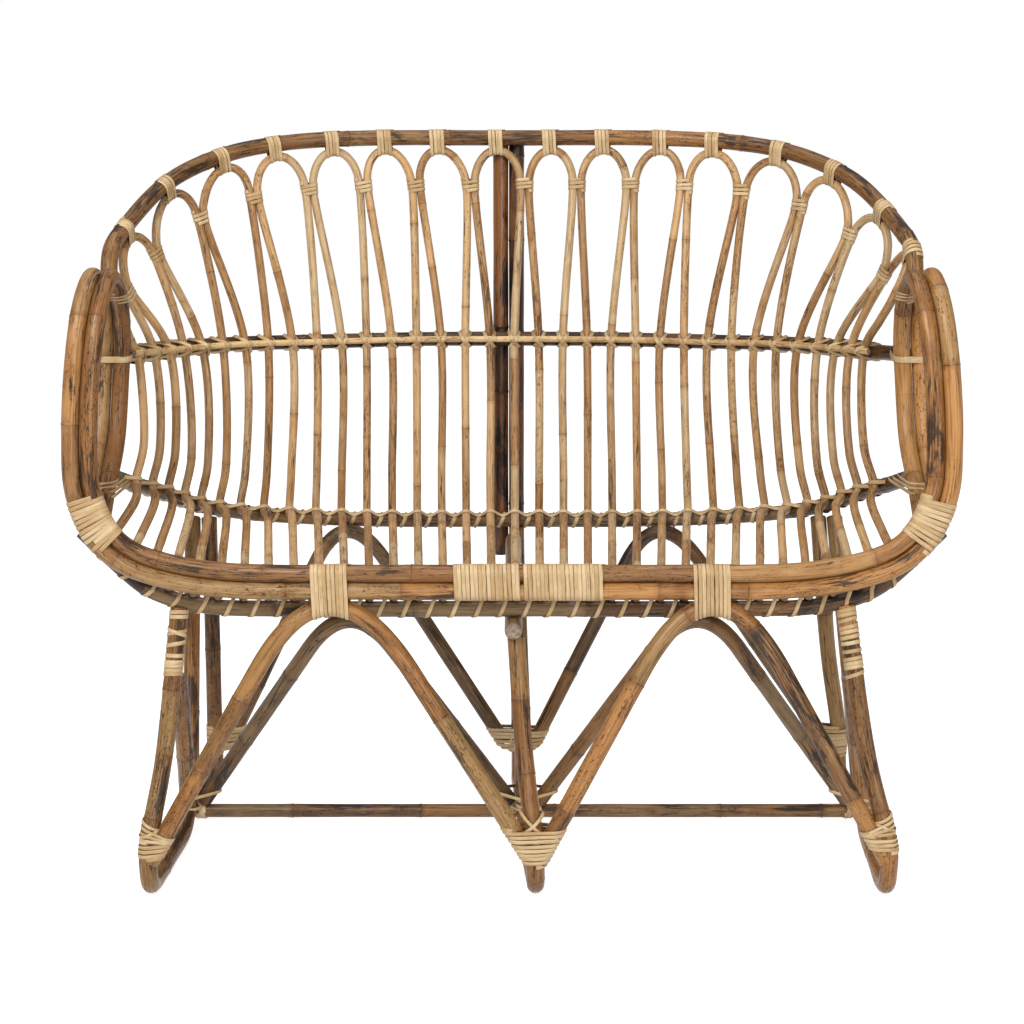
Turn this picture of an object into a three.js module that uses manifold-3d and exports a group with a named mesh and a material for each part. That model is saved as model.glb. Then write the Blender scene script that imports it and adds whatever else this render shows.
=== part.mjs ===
// Rattan garden sofa: bent canes, hairpin spindles and flat cane windings.
// Millimetres, +Z up, the sitter looks towards -Y, the floor is z = 0.
import * as THREE from 'three';
import { mergeVertices } from 'three/addons/utils/BufferGeometryUtils.js';
import Module from 'manifold-3d';

const wasm = await Module();
wasm.setup();

// Driving dimensions: stock sizes
const CANE = 23; // diameter of the main bent canes
const POLE = 21; // diameter of the darker poles under the seat and behind the back
const STRETCHER = 19; // diameter of the long cane between the feet
const SPINDLE = 12; // diameter of the hairpin spindles
const LATH = 7; // diameter of the thin cane in front of the spindles
const STRIP_WIDTH = 4.6; // flat binding cane
const STRIP_THICKNESS = 1.2;
const STRIP_GAP = 0.7; // space left between two turns of one winding
const CLEAR = 0.3; // space left between pieces that touch

// Driving dimensions: the seat and its front rail
const SEAT_HALF_WIDTH = 548; // half distance between the arms, measured at the front legs
const FRONT_Y = -295; // plane of the front rail
const FRONT_RAIL_Z = 404; // height of the joint between the two front canes
const SEAT_BACK_Y = 190; // lower back rail, at the middle
const SEAT_BACK_Z = 367;
const SEAT_SAG = 5; // how far a spindle hangs in the middle of the seat

// Driving dimensions: back and arms
const BACK_TOP_Y = 280; // top rail, at the middle
const BACK_TOP_Z = 928;
const BACK_MID_Y = 240; // mid rail, at the middle
const BACK_MID_Z = SEAT_BACK_Z + 0.476 * (BACK_TOP_Z - SEAT_BACK_Z);
const ARM_TOP_Y = -188;
const ARM_TOP_Z = FRONT_RAIL_Z + 0.7214 * (BACK_TOP_Z - FRONT_RAIL_Z);
const ARM_REAR_Y = -92; // rear side of the arm hoop, where it is deepest
const ARM_REAR_Z = FRONT_RAIL_Z + 0.4504 * (BACK_TOP_Z - FRONT_RAIL_Z);

// Driving dimensions: the base
const FRONT_FOOT_Y = -368;
const REAR_FOOT_Y = 70;
const MID_NODE_Y = -128; // where the two bent canes of a side frame cross
const FOOT_BEND = 30; // radius of the foot bends
const FOOT_GRIND = 1.7; // how much of a foot is ground away to stand flat
const STRETCHER_Z = 27;

// Counts
const LOOP_COUNT = 17;
const MAIN_SIDES = 8;
const SPINDLE_SIDES = 6;

// How the spindles are spread along a rail, as shares of the half width: the shift of the
// middle, the pitch, and how the pitch changes towards one end and towards both ends
const FRONT_SHARES = [-0.0191, 0.0569, -0.00005, 0.00001];
const LOWER_SHARES = [-0.0255, 0.0664, -0.00006, 0.000036];
const MID_SHARES = [-0.0272, 0.0667, -0.0001, 0.0000124];
// Where each loop touches the top rail, as shares of the rail's half length
const TOP_LOOP_SHARES = [
  -0.976, -0.842, -0.692, -0.548, -0.439, -0.329, -0.233, -0.134, -0.027,
  0.072, 0.169, 0.274, 0.373, 0.497, 0.626, 0.782, 0.916,
];

const finish = (color, roughness) => new THREE.MeshStandardMaterial({ color, roughness, metalness: 0 });
const FINISH = {
  cane: finish(0xa9753f, 0.45),
  pole: finish(0x6b4526, 0.5),
  spindle: finish(0xb08a62, 0.5),
  strip: finish(0xd9bd8c, 0.4),
};

const group = new THREE.Group();
group.name = 'rattan_garden_sofa';

const vec = (x, y, z) => new THREE.Vector3(x, y, z);
const along = (point, direction, distance) => point.clone().addScaledVector(direction, distance);
const unit = (from, to) => to.clone().sub(from).normalize();
const mirrored = (point) => vec(-point.x, point.y, point.z);

function addPiece(name, geometry, material) {
  const mesh = new THREE.Mesh(geometry, material);
  mesh.name = name;
  group.add(mesh);
}

// A path whose sections stand exactly at the listed stations
class StationPath extends THREE.Curve {
  constructor(stations) {
    super();
    this.stations = stations;
  }

  getPoint(share, target = new THREE.Vector3()) {
    const place = share * (this.stations.length - 1);
    const index = Math.min(Math.floor(place), this.stations.length - 2);
    return target.lerpVectors(this.stations[index], this.stations[index + 1], place - index);
  }

  getPointAt(share, target) {
    return this.getPoint(share, target);
  }

  getTangentAt(share, target = new THREE.Vector3()) {
    const last = this.stations.length - 1;
    const index = Math.round(share * last);
    const before = this.stations[Math.max(index - 1, 0)];
    const after = this.stations[Math.min(index + 1, last)];
    const here = this.stations[index];
    if (index === 0 || index === last) return target.subVectors(after, before).normalize();
    return target.addVectors(unit(before, here), unit(here, after)).normalize();
  }
}

// Stations along a smooth curve, close together in its bends and far apart on its straights
const FINE_SHARES = 600;
function stationsOf(curve, turnLimit, stepLimit) {
  const points = curve.getSpacedPoints(FINE_SHARES);
  const stations = [points[0]];
  let heading = unit(points[0], points[1]);
  for (let index = 1; index < points.length - 1; index += 1) {
    const next = unit(points[index], points[index + 1]);
    const turned = next.angleTo(heading) > turnLimit;
    const stepped = points[index].distanceTo(stations.at(-1)) > stepLimit;
    if (turned || stepped) {
      stations.push(points[index]);
      heading = next;
    }
  }
  stations.push(points.at(-1));
  return stations;
}

const smooth = (points) => new THREE.CatmullRomCurve3(points, false, 'centripetal');

function roundSection(diameter, sides) {
  const section = new THREE.Shape();
  for (let side = 0; side < sides; side += 1) {
    const angle = (2 * Math.PI * side) / sides;
    const x = (Math.cos(angle) * diameter) / 2;
    const y = (Math.sin(angle) * diameter) / 2;
    if (side === 0) section.moveTo(x, y);
    else section.lineTo(x, y);
  }
  section.closePath();
  return section;
}

function tube(stations, diameter, sides) {
  const path = new StationPath(stations);
  const options = { steps: stations.length - 1, extrudePath: path, bevelEnabled: false };
  return new THREE.ExtrudeGeometry(roundSection(diameter, sides), options);
}

const MAIN_TURN = 0.3;
const MAIN_STEP = 190;
const cane = (points, diameter = CANE) => stationsOf(smooth(points), MAIN_TURN, MAIN_STEP);

// A rail is kept as its stations, so that what rests on it can find it
class Rail {
  constructor(stations) {
    this.stations = stations;
    this.lengths = [0];
    for (let index = 1; index < stations.length; index += 1) {
      this.lengths.push(this.lengths[index - 1] + stations[index].distanceTo(stations[index - 1]));
    }
    this.length = this.lengths.at(-1);
  }

  // The place at a distance from the middle of the rail, negative to the left
  at(distance) {
    const place = THREE.MathUtils.clamp(this.length / 2 + distance, 0, this.length);
    let index = 1;
    while (index < this.lengths.length - 1 && this.lengths[index] < place) index += 1;
    const share = (place - this.lengths[index - 1]) / (this.lengths[index] - this.lengths[index - 1]);
    return this.stations[index - 1].clone().lerp(this.stations[index], share);
  }

  direction(distance) {
    return unit(this.at(distance - SPINDLE), this.at(distance + SPINDLE));
  }
}

// A rail from the left half of its points, the middle one last
function symmetricRail(leftPoints) {
  const rightPoints = leftPoints.slice(0, -1).reverse().map(mirrored);
  return new Rail(cane([...leftPoints, ...rightPoints]));
}

// Arms: one closed sweep for each side, front rail, front leg, top, rear leg
const HOOP_SPREAD = (CANE + CLEAR) / 2;
const hoopPoints = [
  vec(-CLEAR / 2, FRONT_Y, FRONT_RAIL_Z),
  vec(-0.34 * SEAT_HALF_WIDTH, FRONT_Y, FRONT_RAIL_Z),
  vec(-0.66 * SEAT_HALF_WIDTH, FRONT_Y, FRONT_RAIL_Z + 0.1 * CANE),
  vec(-0.8 * SEAT_HALF_WIDTH, FRONT_Y, FRONT_RAIL_Z + 0.6 * CANE),
  vec(-0.893 * SEAT_HALF_WIDTH, FRONT_Y, FRONT_RAIL_Z + 1.4 * CANE),
  vec(-0.953 * SEAT_HALF_WIDTH, FRONT_Y, FRONT_RAIL_Z + 2.7 * CANE),
  vec(-0.994 * SEAT_HALF_WIDTH, FRONT_Y + 0.2 * CANE, FRONT_RAIL_Z + 5 * CANE),
  vec(-SEAT_HALF_WIDTH, FRONT_Y + 0.5 * CANE, FRONT_RAIL_Z + 8 * CANE),
  vec(-0.985 * SEAT_HALF_WIDTH, FRONT_Y + 1.1 * CANE, ARM_TOP_Z - 3.6 * CANE),
  vec(-0.972 * SEAT_HALF_WIDTH, ARM_TOP_Y - 2.3 * CANE, ARM_TOP_Z - 1.05 * CANE),
  vec(-0.965 * SEAT_HALF_WIDTH, ARM_TOP_Y, ARM_TOP_Z),
  vec(-0.965 * SEAT_HALF_WIDTH, ARM_TOP_Y + 2.4 * CANE, ARM_TOP_Z - 1.5 * CANE),
  vec(-0.972 * SEAT_HALF_WIDTH, ARM_REAR_Y - 0.35 * CANE, ARM_TOP_Z - 4 * CANE),
  vec(-0.982 * SEAT_HALF_WIDTH, ARM_REAR_Y, ARM_REAR_Z),
  vec(-0.99 * SEAT_HALF_WIDTH, ARM_REAR_Y - 1.1 * CANE, ARM_REAR_Z - 3.6 * CANE),
  vec(-0.998 * SEAT_HALF_WIDTH, ARM_REAR_Y - 3.8 * CANE, ARM_REAR_Z - 6.1 * CANE),
  vec(-0.987 * SEAT_HALF_WIDTH, FRONT_Y + 1.75 * CANE, FRONT_RAIL_Z + 3.2 * CANE),
];

// The same sweep shifted sideways, by a direction that turns with it and starts straight up
function shiftedSweep(stations, distance) {
  let side = vec(0, 0, 1);
  return stations.map((station, index) => {
    const before = stations[Math.max(index - 1, 0)];
    const after = stations[Math.min(index + 1, stations.length - 1)];
    const heading = unit(before, after);
    side = side.clone().addScaledVector(heading, -side.dot(heading)).normalize();
    return along(station, side, distance);
  });
}

const HOOP_TURN = 0.24;
const hoopStations = stationsOf(smooth(hoopPoints), HOOP_TURN, MAIN_STEP);
const innerHoop = shiftedSweep(hoopStations, HOOP_SPREAD);
const outerHoop = shiftedSweep(hoopStations, -HOOP_SPREAD);

for (const [name, stations] of [['inner_arm_cane', innerHoop], ['outer_arm_cane', outerHoop]]) {
  addPiece(`${name}_left`, tube(stations, CANE, MAIN_SIDES), FINISH.cane);
  addPiece(`${name}_right`, tube(stations.map(mirrored), CANE, MAIN_SIDES), FINISH.cane);
}

// Rails of the back and the pole under the seat front
const topRail = symmetricRail([
  vec(-0.985 * SEAT_HALF_WIDTH, ARM_REAR_Y + 0.3 * CANE, ARM_TOP_Z - 1.9 * CANE),
  vec(-0.985 * SEAT_HALF_WIDTH, ARM_TOP_Y + 5.7 * CANE, ARM_TOP_Z + 0.7 * CANE),
  vec(-0.967 * SEAT_HALF_WIDTH, BACK_TOP_Y - 12.2 * CANE, BACK_TOP_Z - 4.5 * CANE),
  vec(-0.88 * SEAT_HALF_WIDTH, BACK_TOP_Y - 7.4 * CANE, BACK_TOP_Z - 2.1 * CANE),
  vec(-0.75 * SEAT_HALF_WIDTH, BACK_TOP_Y - 3.8 * CANE, BACK_TOP_Z - 0.75 * CANE),
  vec(-0.61 * SEAT_HALF_WIDTH, BACK_TOP_Y - 1.9 * CANE, BACK_TOP_Z - 0.2 * CANE),
  vec(-0.42 * SEAT_HALF_WIDTH, BACK_TOP_Y - 0.5 * CANE, BACK_TOP_Z),
  vec(0, BACK_TOP_Y, BACK_TOP_Z),
]);
const midRail = symmetricRail([
  vec(-0.975 * SEAT_HALF_WIDTH, ARM_REAR_Y + 0.95 * CANE, BACK_MID_Z + 1.2 * CANE),
  vec(-0.935 * SEAT_HALF_WIDTH, BACK_MID_Y - 11 * CANE, BACK_MID_Z + 0.9 * CANE),
  vec(-0.86 * SEAT_HALF_WIDTH, BACK_MID_Y - 6.7 * CANE, BACK_MID_Z + 0.5 * CANE),
  vec(-0.715 * SEAT_HALF_WIDTH, BACK_MID_Y - 3.2 * CANE, BACK_MID_Z + 0.2 * CANE),
  vec(-0.53 * SEAT_HALF_WIDTH, BACK_MID_Y - 1.2 * CANE, BACK_MID_Z),
  vec(-0.26 * SEAT_HALF_WIDTH, BACK_MID_Y - 0.2 * CANE, BACK_MID_Z),
  vec(0, BACK_MID_Y, BACK_MID_Z),
]);
const lowerRail = symmetricRail([
  vec(-0.967 * SEAT_HALF_WIDTH, ARM_REAR_Y - 1.95 * CANE, SEAT_BACK_Z + 6 * CANE),
  vec(-0.943 * SEAT_HALF_WIDTH, SEAT_BACK_Y - 12.2 * CANE, SEAT_BACK_Z + 5.2 * CANE),
  vec(-0.9 * SEAT_HALF_WIDTH, SEAT_BACK_Y - 9 * CANE, SEAT_BACK_Z + 4 * CANE),
  vec(-0.82 * SEAT_HALF_WIDTH, SEAT_BACK_Y - 4.8 * CANE, SEAT_BACK_Z + 2.1 * CANE),
  vec(-0.715 * SEAT_HALF_WIDTH, SEAT_BACK_Y - 2.2 * CANE, SEAT_BACK_Z + CANE),
  vec(-0.53 * SEAT_HALF_WIDTH, SEAT_BACK_Y - 0.7 * CANE, SEAT_BACK_Z + 0.3 * CANE),
  vec(-0.26 * SEAT_HALF_WIDTH, SEAT_BACK_Y - 0.1 * CANE, SEAT_BACK_Z),
  vec(0, SEAT_BACK_Y, SEAT_BACK_Z),
]);
const SPINDLE_END_Z = FRONT_RAIL_Z - 1.12 * CANE;
const POLE_Z = SPINDLE_END_Z - SPINDLE / 2 - POLE / 2 - CLEAR;
const POLE_Y = FRONT_Y + CANE + 8 * CLEAR;
const seatPole = symmetricRail([
  vec(-1.01 * SEAT_HALF_WIDTH, POLE_Y + 0.15 * CANE, POLE_Z + 4.5 * CANE),
  vec(-0.94 * SEAT_HALF_WIDTH, POLE_Y + 0.1 * CANE, POLE_Z + 2.8 * CANE),
  vec(-0.855 * SEAT_HALF_WIDTH, POLE_Y, POLE_Z + 1.1 * CANE),
  vec(-0.735 * SEAT_HALF_WIDTH, POLE_Y, POLE_Z + 0.2 * CANE),
  vec(-0.5 * SEAT_HALF_WIDTH, POLE_Y, POLE_Z),
  vec(0, POLE_Y, POLE_Z),
]);
addPiece('top_back_rail', tube(topRail.stations, CANE, MAIN_SIDES), FINISH.cane);
addPiece('mid_back_rail', tube(midRail.stations, POLE, MAIN_SIDES), FINISH.pole);
addPiece('lower_back_rail', tube(lowerRail.stations, POLE, MAIN_SIDES), FINISH.pole);
addPiece('seat_front_pole', tube(seatPole.stations, POLE, MAIN_SIDES), FINISH.pole);

// Hairpin spindles: each one is a single cane, up one side, over and down the other
const SPINDLE_COUNT = 2 * LOOP_COUNT;
const TIE_DROP = 3 * CANE; // how far below the top rail neighbouring loops are tied
const SPINDLE_OVERRUN = 0.4 * SPINDLE; // length in front of the pole under the seat
const BEND_REACH = 4 * SPINDLE; // half length of the bend between seat and back
const BEND_RISE = 0.9 * SPINDLE;
const LOOP_TOP_STEPS = 8;
const OUTER_TIE_SHIFT = 1.9 * SPINDLE; // the outermost legs stand clear of the top rail
const POLE_TO_SPINDLE = POLE / 2 + SPINDLE / 2 + CLEAR;

// The distance from the middle of a rail to a spindle, by its number from the middle
function spreadAlong(shares, number) {
  const share = shares.reduce((sum, factor, power) => sum + factor * number ** power, 0);
  return share * SEAT_HALF_WIDTH;
}

// The same for a loop at the top rail, and half a number for the boundary of two loops
function topDistance(loop) {
  const place = THREE.MathUtils.clamp(loop + (LOOP_COUNT - 1) / 2, -0.5, LOOP_COUNT - 0.5);
  const index = THREE.MathUtils.clamp(Math.floor(place), 0, LOOP_COUNT - 2);
  const share = THREE.MathUtils.lerp(TOP_LOOP_SHARES[index], TOP_LOOP_SHARES[index + 1], place - index);
  return (share * topRail.length) / 2;
}

// The direction square to two crossing pieces, on the side of a third direction
function squareTo(first, second, towards) {
  const square = first.clone().cross(second).normalize();
  return square.dot(towards) < 0 ? square.negate() : square;
}

// Where a loop's leg is tied to its neighbour, below the boundary between two loops
function tiePlace(boundary, sideways) {
  const distance = topDistance(boundary);
  const place = topRail.at(distance);
  const down = unit(place, midRail.at(spreadAlong(MID_SHARES, 2 * boundary)));
  const tie = along(place, down, TIE_DROP);
  const outermost = Math.abs(boundary) === LOOP_COUNT / 2;
  if (outermost) tie.x += sideways * OUTER_TIE_SHIFT;
  return along(tie, topRail.direction(distance), (sideways * (SPINDLE + CLEAR)) / 2);
}

function loopTop(loop) {
  const distance = topDistance(loop);
  const place = topRail.at(distance);
  const down = unit(place, midRail.at(spreadAlong(MID_SHARES, 2 * loop)));
  const heading = topRail.direction(distance);
  const below = along(down, heading, -down.dot(heading)).normalize();
  return along(place, below, CANE / 2 + SPINDLE / 2 + CLEAR);
}

// The leg from the front of the seat up to the tie, passing over three rails
function legPoints(number, tie) {
  const frontDistance = spreadAlong(FRONT_SHARES, number);
  const lowerDistance = spreadAlong(LOWER_SHARES, number);
  const midDistance = spreadAlong(MID_SHARES, number);
  const rest = seatPole.at(frontDistance);
  const lower = lowerRail.at(lowerDistance);
  const mid = midRail.at(midDistance);
  const toFront = unit(lower, rest);
  const toMid = unit(lower, mid);
  const lifted = squareTo(seatPole.direction(frontDistance), toFront, vec(0, 0, 1));
  const front = along(rest, lifted, POLE_TO_SPINDLE);
  const inside = toFront.clone().add(toMid);
  const bendHeading = toMid.clone().sub(toFront);
  const inward = squareTo(lowerRail.direction(lowerDistance), bendHeading, inside);
  const bend = along(lower, inward, POLE_TO_SPINDLE);
  const seatSide = along(along(bend, toFront, BEND_REACH), inward, BEND_RISE);
  const backSide = along(along(bend, toMid, BEND_REACH), inward, BEND_RISE);
  const midInward = squareTo(midRail.direction(midDistance), toMid, toFront);
  const midPass = along(mid, midInward, POLE_TO_SPINDLE + CLEAR);
  const seatMiddle = front.clone().lerp(seatSide, 0.5).add(vec(0, 0, -SEAT_SAG));
  const frontEnd = along(front, unit(seatMiddle, front), SPINDLE_OVERRUN);
  return [frontEnd, seatMiddle, seatSide, bend, backSide, midPass, tie];
}

// How many sections stand between two neighbouring points of a leg
const LEG_STEPS = [1, 1, 2, 2, 2, 2];
function legStations(points) {
  const curve = smooth(points);
  const spans = points.length - 1;
  const stations = [];
  LEG_STEPS.forEach((steps, span) => {
    for (let step = 0; step < steps; step += 1) {
      stations.push(curve.getPoint((span + step / steps) / spans));
    }
  });
  return [...stations, points.at(-1)];
}

function hairpin(loop) {
  const leftTie = tiePlace(loop - 0.5, 1);
  const rightTie = tiePlace(loop + 0.5, -1);
  const left = legStations(legPoints(2 * loop - 0.5, leftTie));
  const right = legStations(legPoints(2 * loop + 0.5, rightTie)).reverse();
  const middle = leftTie.clone().lerp(rightTie, 0.5);
  const half = rightTie.clone().sub(middle);
  const rise = loopTop(loop).sub(middle);
  const arc = [];
  for (let step = 1; step < LOOP_TOP_STEPS; step += 1) {
    const angle = Math.PI * (1 - step / LOOP_TOP_STEPS);
    arc.push(along(along(middle, half, Math.cos(angle)), rise, Math.sin(angle)));
  }
  return [...left, ...arc, ...right];
}

for (let index = 0; index < LOOP_COUNT; index += 1) {
  const loop = index - (LOOP_COUNT - 1) / 2;
  const name = `hairpin_spindle_${String(index + 1).padStart(2, '0')}`;
  addPiece(name, tube(hairpin(loop), SPINDLE, SPINDLE_SIDES), FINISH.spindle);
}

// The thin cane in front of the spindles, opposite the mid rail
const LATH_OFFSET = POLE / 2 + SPINDLE + LATH / 2 + 4 * CLEAR;
const LATH_STEPS = 22;
const lathStations = [];
for (let step = 0; step <= LATH_STEPS; step += 1) {
  const number = ((2 * step) / LATH_STEPS - 1) * (SPINDLE_COUNT / 2 + 0.2);
  const distance = spreadAlong(MID_SHARES, number);
  const upward = unit(midRail.at(distance), topRail.at(distance));
  const inward = squareTo(midRail.direction(distance), upward, vec(0, -1, 0));
  lathStations.push(along(midRail.at(distance), inward, LATH_OFFSET));
}
addPiece('mid_back_lath', tube(lathStations, LATH, SPINDLE_SIDES), FINISH.strip);

// The two posts behind the middle of the back, and the bearer under the middle of the seat
const BACK_CENTRE_X = -5; // the back stands a little left of the seat
const behind = (y, diameter) => y + diameter / 2 + CANE / 2 - 3 * CLEAR;
const postPoints = (x) => [
  vec(x, behind(BACK_TOP_Y, CANE) + 4 * CLEAR, BACK_TOP_Z + 0.2 * CANE),
  vec(x, behind(BACK_MID_Y, POLE), BACK_MID_Z),
  vec(x, behind(SEAT_BACK_Y, POLE), SEAT_BACK_Z),
  vec(x, behind(SEAT_BACK_Y, POLE) - 0.1 * CANE, SEAT_BACK_Z - 2.5 * CANE),
];
const POST_GAP = 0.6; // space between the two posts
const postShift = (CANE + POST_GAP) / 2;
addPiece('back_post_left', tube(postPoints(BACK_CENTRE_X - postShift), CANE, MAIN_SIDES), FINISH.pole);
addPiece('back_post_right', tube(postPoints(BACK_CENTRE_X + postShift), CANE, MAIN_SIDES), FINISH.pole);

const BEARER_X = 2;

// Side and centre frames: two canes each, one bent round the front foot, one round the rear foot.
// Both turn up again at the mid node, where the stretcher lies between their bends.
// The shares of the seat's half width give front top, front foot, mid node, rear foot, rear top.
const FRAMES = [
  {
    side: 'left',
    outward: -1,
    lift: -6 * CLEAR, // how the cut top of the front leg stands to the pole above it
    placeShares: [-0.7865, -0.8535, -0.822, -0.803, -0.825],
  },
  {
    side: 'centre',
    outward: -1,
    lift: -11 * CLEAR,
    placeShares: [0.0095, 0.0555, 0.0325, 0.02, 0.0125],
  },
  {
    side: 'right',
    outward: 1,
    lift: 2 * CLEAR,
    placeShares: [0.7895, 0.8845, 0.89, 0.884, 0.832],
  },
];
for (const frame of FRAMES) {
  const places = frame.placeShares.map((share) => share * SEAT_HALF_WIDTH);
  [frame.frontTop, frame.frontFoot, frame.mid, frame.rearFoot, frame.rearTop] = places;
}
const SIDE_TOP = { reach: 0.5 * CANE, drop: 0.47 * CANE }; // rear tops lean against the lower rail
const CENTRE_TOP = { reach: -0.14 * CANE, drop: 0.03 * CANE };
const NODE_SLACK = -0.2 * CANE; // the bends are open, so they reach over the stretcher
const BEARER_DROP = POLE / 2 + CANE / 2 + 2 * CLEAR;
const FRAME_SPREAD = (CANE + 2 * CLEAR) / 2;
const FOOT_Z = CANE / 2 - FOOT_GRIND;
const NODE_REACH = STRETCHER / 2 + CANE / 2 + CLEAR + NODE_SLACK;

// The place of a rail at a given x
const SEARCH_ROUNDS = 20;
function railAtX(rail, x) {
  let distance = x;
  for (let round = 0; round < SEARCH_ROUNDS; round += 1) distance += x - rail.at(distance).x;
  return rail.at(distance);
}

const between = (from, to, share) => from + (to - from) * share;

// The bend at a foot, going down, its lower part running towards the mid node
function footBend(x, y, inwards) {
  return [
    vec(x, y, FOOT_Z + 1.9 * FOOT_BEND),
    vec(x, y - inwards * 0.05 * FOOT_BEND, FOOT_Z + FOOT_BEND),
    vec(x, y + inwards * 0.28 * FOOT_BEND, FOOT_Z + 0.28 * FOOT_BEND),
    vec(x, y + inwards * FOOT_BEND, FOOT_Z),
  ];
}

// A bend at the mid node, coming along the floor and going up; inwards is 1 for the front cane
function nodeBend(footX, mid, risingX, inwards) {
  const y = MID_NODE_Y - inwards * NODE_REACH;
  return [
    vec(between(footX, mid, 0.9), y - inwards * 1.3 * CANE, FOOT_Z + 0.3 * CANE),
    vec(mid, y, FOOT_Z + 1.3 * CANE),
    vec(risingX, y - inwards * 0.55 * CANE, FOOT_Z + 3.2 * CANE),
  ];
}

function frameCanes(frame) {
  const { frontTop, frontFoot, mid, rearFoot, rearTop } = frame;
  const centred = frame.side === 'centre';
  const top = centred ? CENTRE_TOP : SIDE_TOP;
  const apart = vec(centred ? 0 : frame.outward * FRAME_SPREAD, 0, 0);
  const pole = railAtX(seatPole, frontTop);
  const poleUnder = pole.z - POLE / 2 + frame.lift - (centred ? CANE : 0);
  const rail = railAtX(lowerRail, rearTop);
  const railUnder = rail.z - POLE / 2 - top.drop;
  const rearTopY = rail.y + top.reach;
  const middleX = between(frontTop, frontFoot, 0.5);
  const rearMiddleX = between(rearTop, rearFoot, 0.5);
  const returnX = between(mid, frontTop, 0.12);
  const endShare = 0.26; // how far down the front leg the returning end leans against it
  const endX = between(frontTop, frontFoot, endShare) - frame.outward * (centred ? 0 : 0.2 * CANE);
  const endY = between(POLE_Y, FRONT_FOOT_Y, endShare) + 1.25 * CANE;
  const frontCane = [
    vec(frontTop, POLE_Y - 0.25 * CANE, poleUnder),
    vec(middleX, between(POLE_Y, FRONT_FOOT_Y, 0.55), poleUnder / 2),
    ...footBend(frontFoot, FRONT_FOOT_Y, 1),
    vec(between(frontFoot, mid, 0.45), between(FRONT_FOOT_Y, MID_NODE_Y, 0.45), FOOT_Z + 0.1 * CANE),
    ...nodeBend(frontFoot, mid, returnX, 1),
    vec(endX, endY, poleUnder * (1 - endShare)),
  ];
  // The other end of the rear cane stands beside its top, or before it in the centre frame
  const secondTop = centred
    ? vec(rearTop, between(rearTopY, REAR_FOOT_Y, 0.09) - 1.12 * CANE, railUnder * 0.91)
    : vec(rearTop, rearTopY, railUnder);
  const rearCane = [
    vec(rearTop, rearTopY, railUnder).sub(apart),
    vec(rearMiddleX, between(rearTopY, REAR_FOOT_Y, 0.5), railUnder / 2).addScaledVector(apart, -0.5),
    ...footBend(rearFoot, REAR_FOOT_Y, -1),
    vec(between(rearFoot, mid, 0.4), between(REAR_FOOT_Y, MID_NODE_Y, 0.45), FOOT_Z + 0.1 * CANE),
    ...nodeBend(rearFoot, mid, between(mid, rearTop, 0.08), -1),
    secondTop.add(apart),
  ];
  return { frontCane, rearCane };
}

// Feet are ground flat where they stand on the floor
function solidOf(geometry) {
  const bare = geometry.clone();
  bare.deleteAttribute('normal');
  bare.deleteAttribute('uv');
  const merged = mergeVertices(bare, CLEAR / 300);
  const vertProperties = new Float32Array(merged.attributes.position.array);
  const triVerts = new Uint32Array(merged.index.array);
  return new wasm.Manifold(new wasm.Mesh({ numProp: 3, vertProperties, triVerts }));
}

function geometryOf(solid) {
  const mesh = solid.getMesh();
  const geometry = new THREE.BufferGeometry();
  geometry.setAttribute('position', new THREE.BufferAttribute(new Float32Array(mesh.vertProperties), 3));
  geometry.setIndex(new THREE.BufferAttribute(new Uint32Array(mesh.triVerts), 1));
  geometry.computeVertexNormals();
  return geometry;
}

function groundFlat(geometry) {
  const size = 4 * SEAT_HALF_WIDTH;
  const floor = new THREE.BoxGeometry(size, size, CANE);
  floor.translate(0, 0, -CANE / 2);
  return geometryOf(solidOf(geometry).subtract(solidOf(floor)));
}

// A cane cut slantwise where it meets other canes; only its main body is kept
function scarfed(geometry, legs) {
  let solid = solidOf(geometry);
  for (const leg of legs) solid = solid.subtract(solidOf(tube(leg, CANE + 2 * CLEAR, MAIN_SIDES)));
  const bodies = solid.decompose();
  bodies.sort((one, other) => other.volume() - one.volume());
  return geometryOf(bodies[0]);
}

const frameStations = {};
for (const frame of FRAMES) {
  const { frontCane, rearCane } = frameCanes(frame);
  frameStations[frame.side] = { front: cane(frontCane), rear: cane(rearCane) };
  const { front, rear } = frameStations[frame.side];
  addPiece(`${frame.side}_front_leg_cane`, groundFlat(tube(front, CANE, MAIN_SIDES)), FINISH.cane);
  addPiece(`${frame.side}_rear_leg_cane`, groundFlat(tube(rear, CANE, MAIN_SIDES)), FINISH.cane);
}

// The long stretcher under the three mid nodes
const [leftFrame, centreFrame, rightFrame] = FRAMES;
const stretcherPoints = [
  vec(leftFrame.mid - 0.2 * CANE, MID_NODE_Y, STRETCHER_Z),
  vec(rightFrame.mid + 0.2 * CANE, MID_NODE_Y, STRETCHER_Z),
];
addPiece('stretcher', tube(stretcherPoints, STRETCHER, MAIN_SIDES), FINISH.pole);
const bearerPoints = [
  vec(BEARER_X, FRONT_Y - 0.1 * CANE, POLE_Z - BEARER_DROP),
  vec(BEARER_X, SEAT_BACK_Y - 1.35 * CANE, SEAT_BACK_Z - BEARER_DROP),
];
addPiece('seat_bearer', tube(bearerPoints, CANE, MAIN_SIDES), FINISH.pole);

// Where a cane passes a height, going down its stations from the first one
function atHeight(stations, z) {
  const index = stations.findIndex((station) => station.z < z);
  const above = stations[index - 1];
  return above.clone().lerp(stations[index], (above.z - z) / (above.z - stations[index].z));
}

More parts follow.
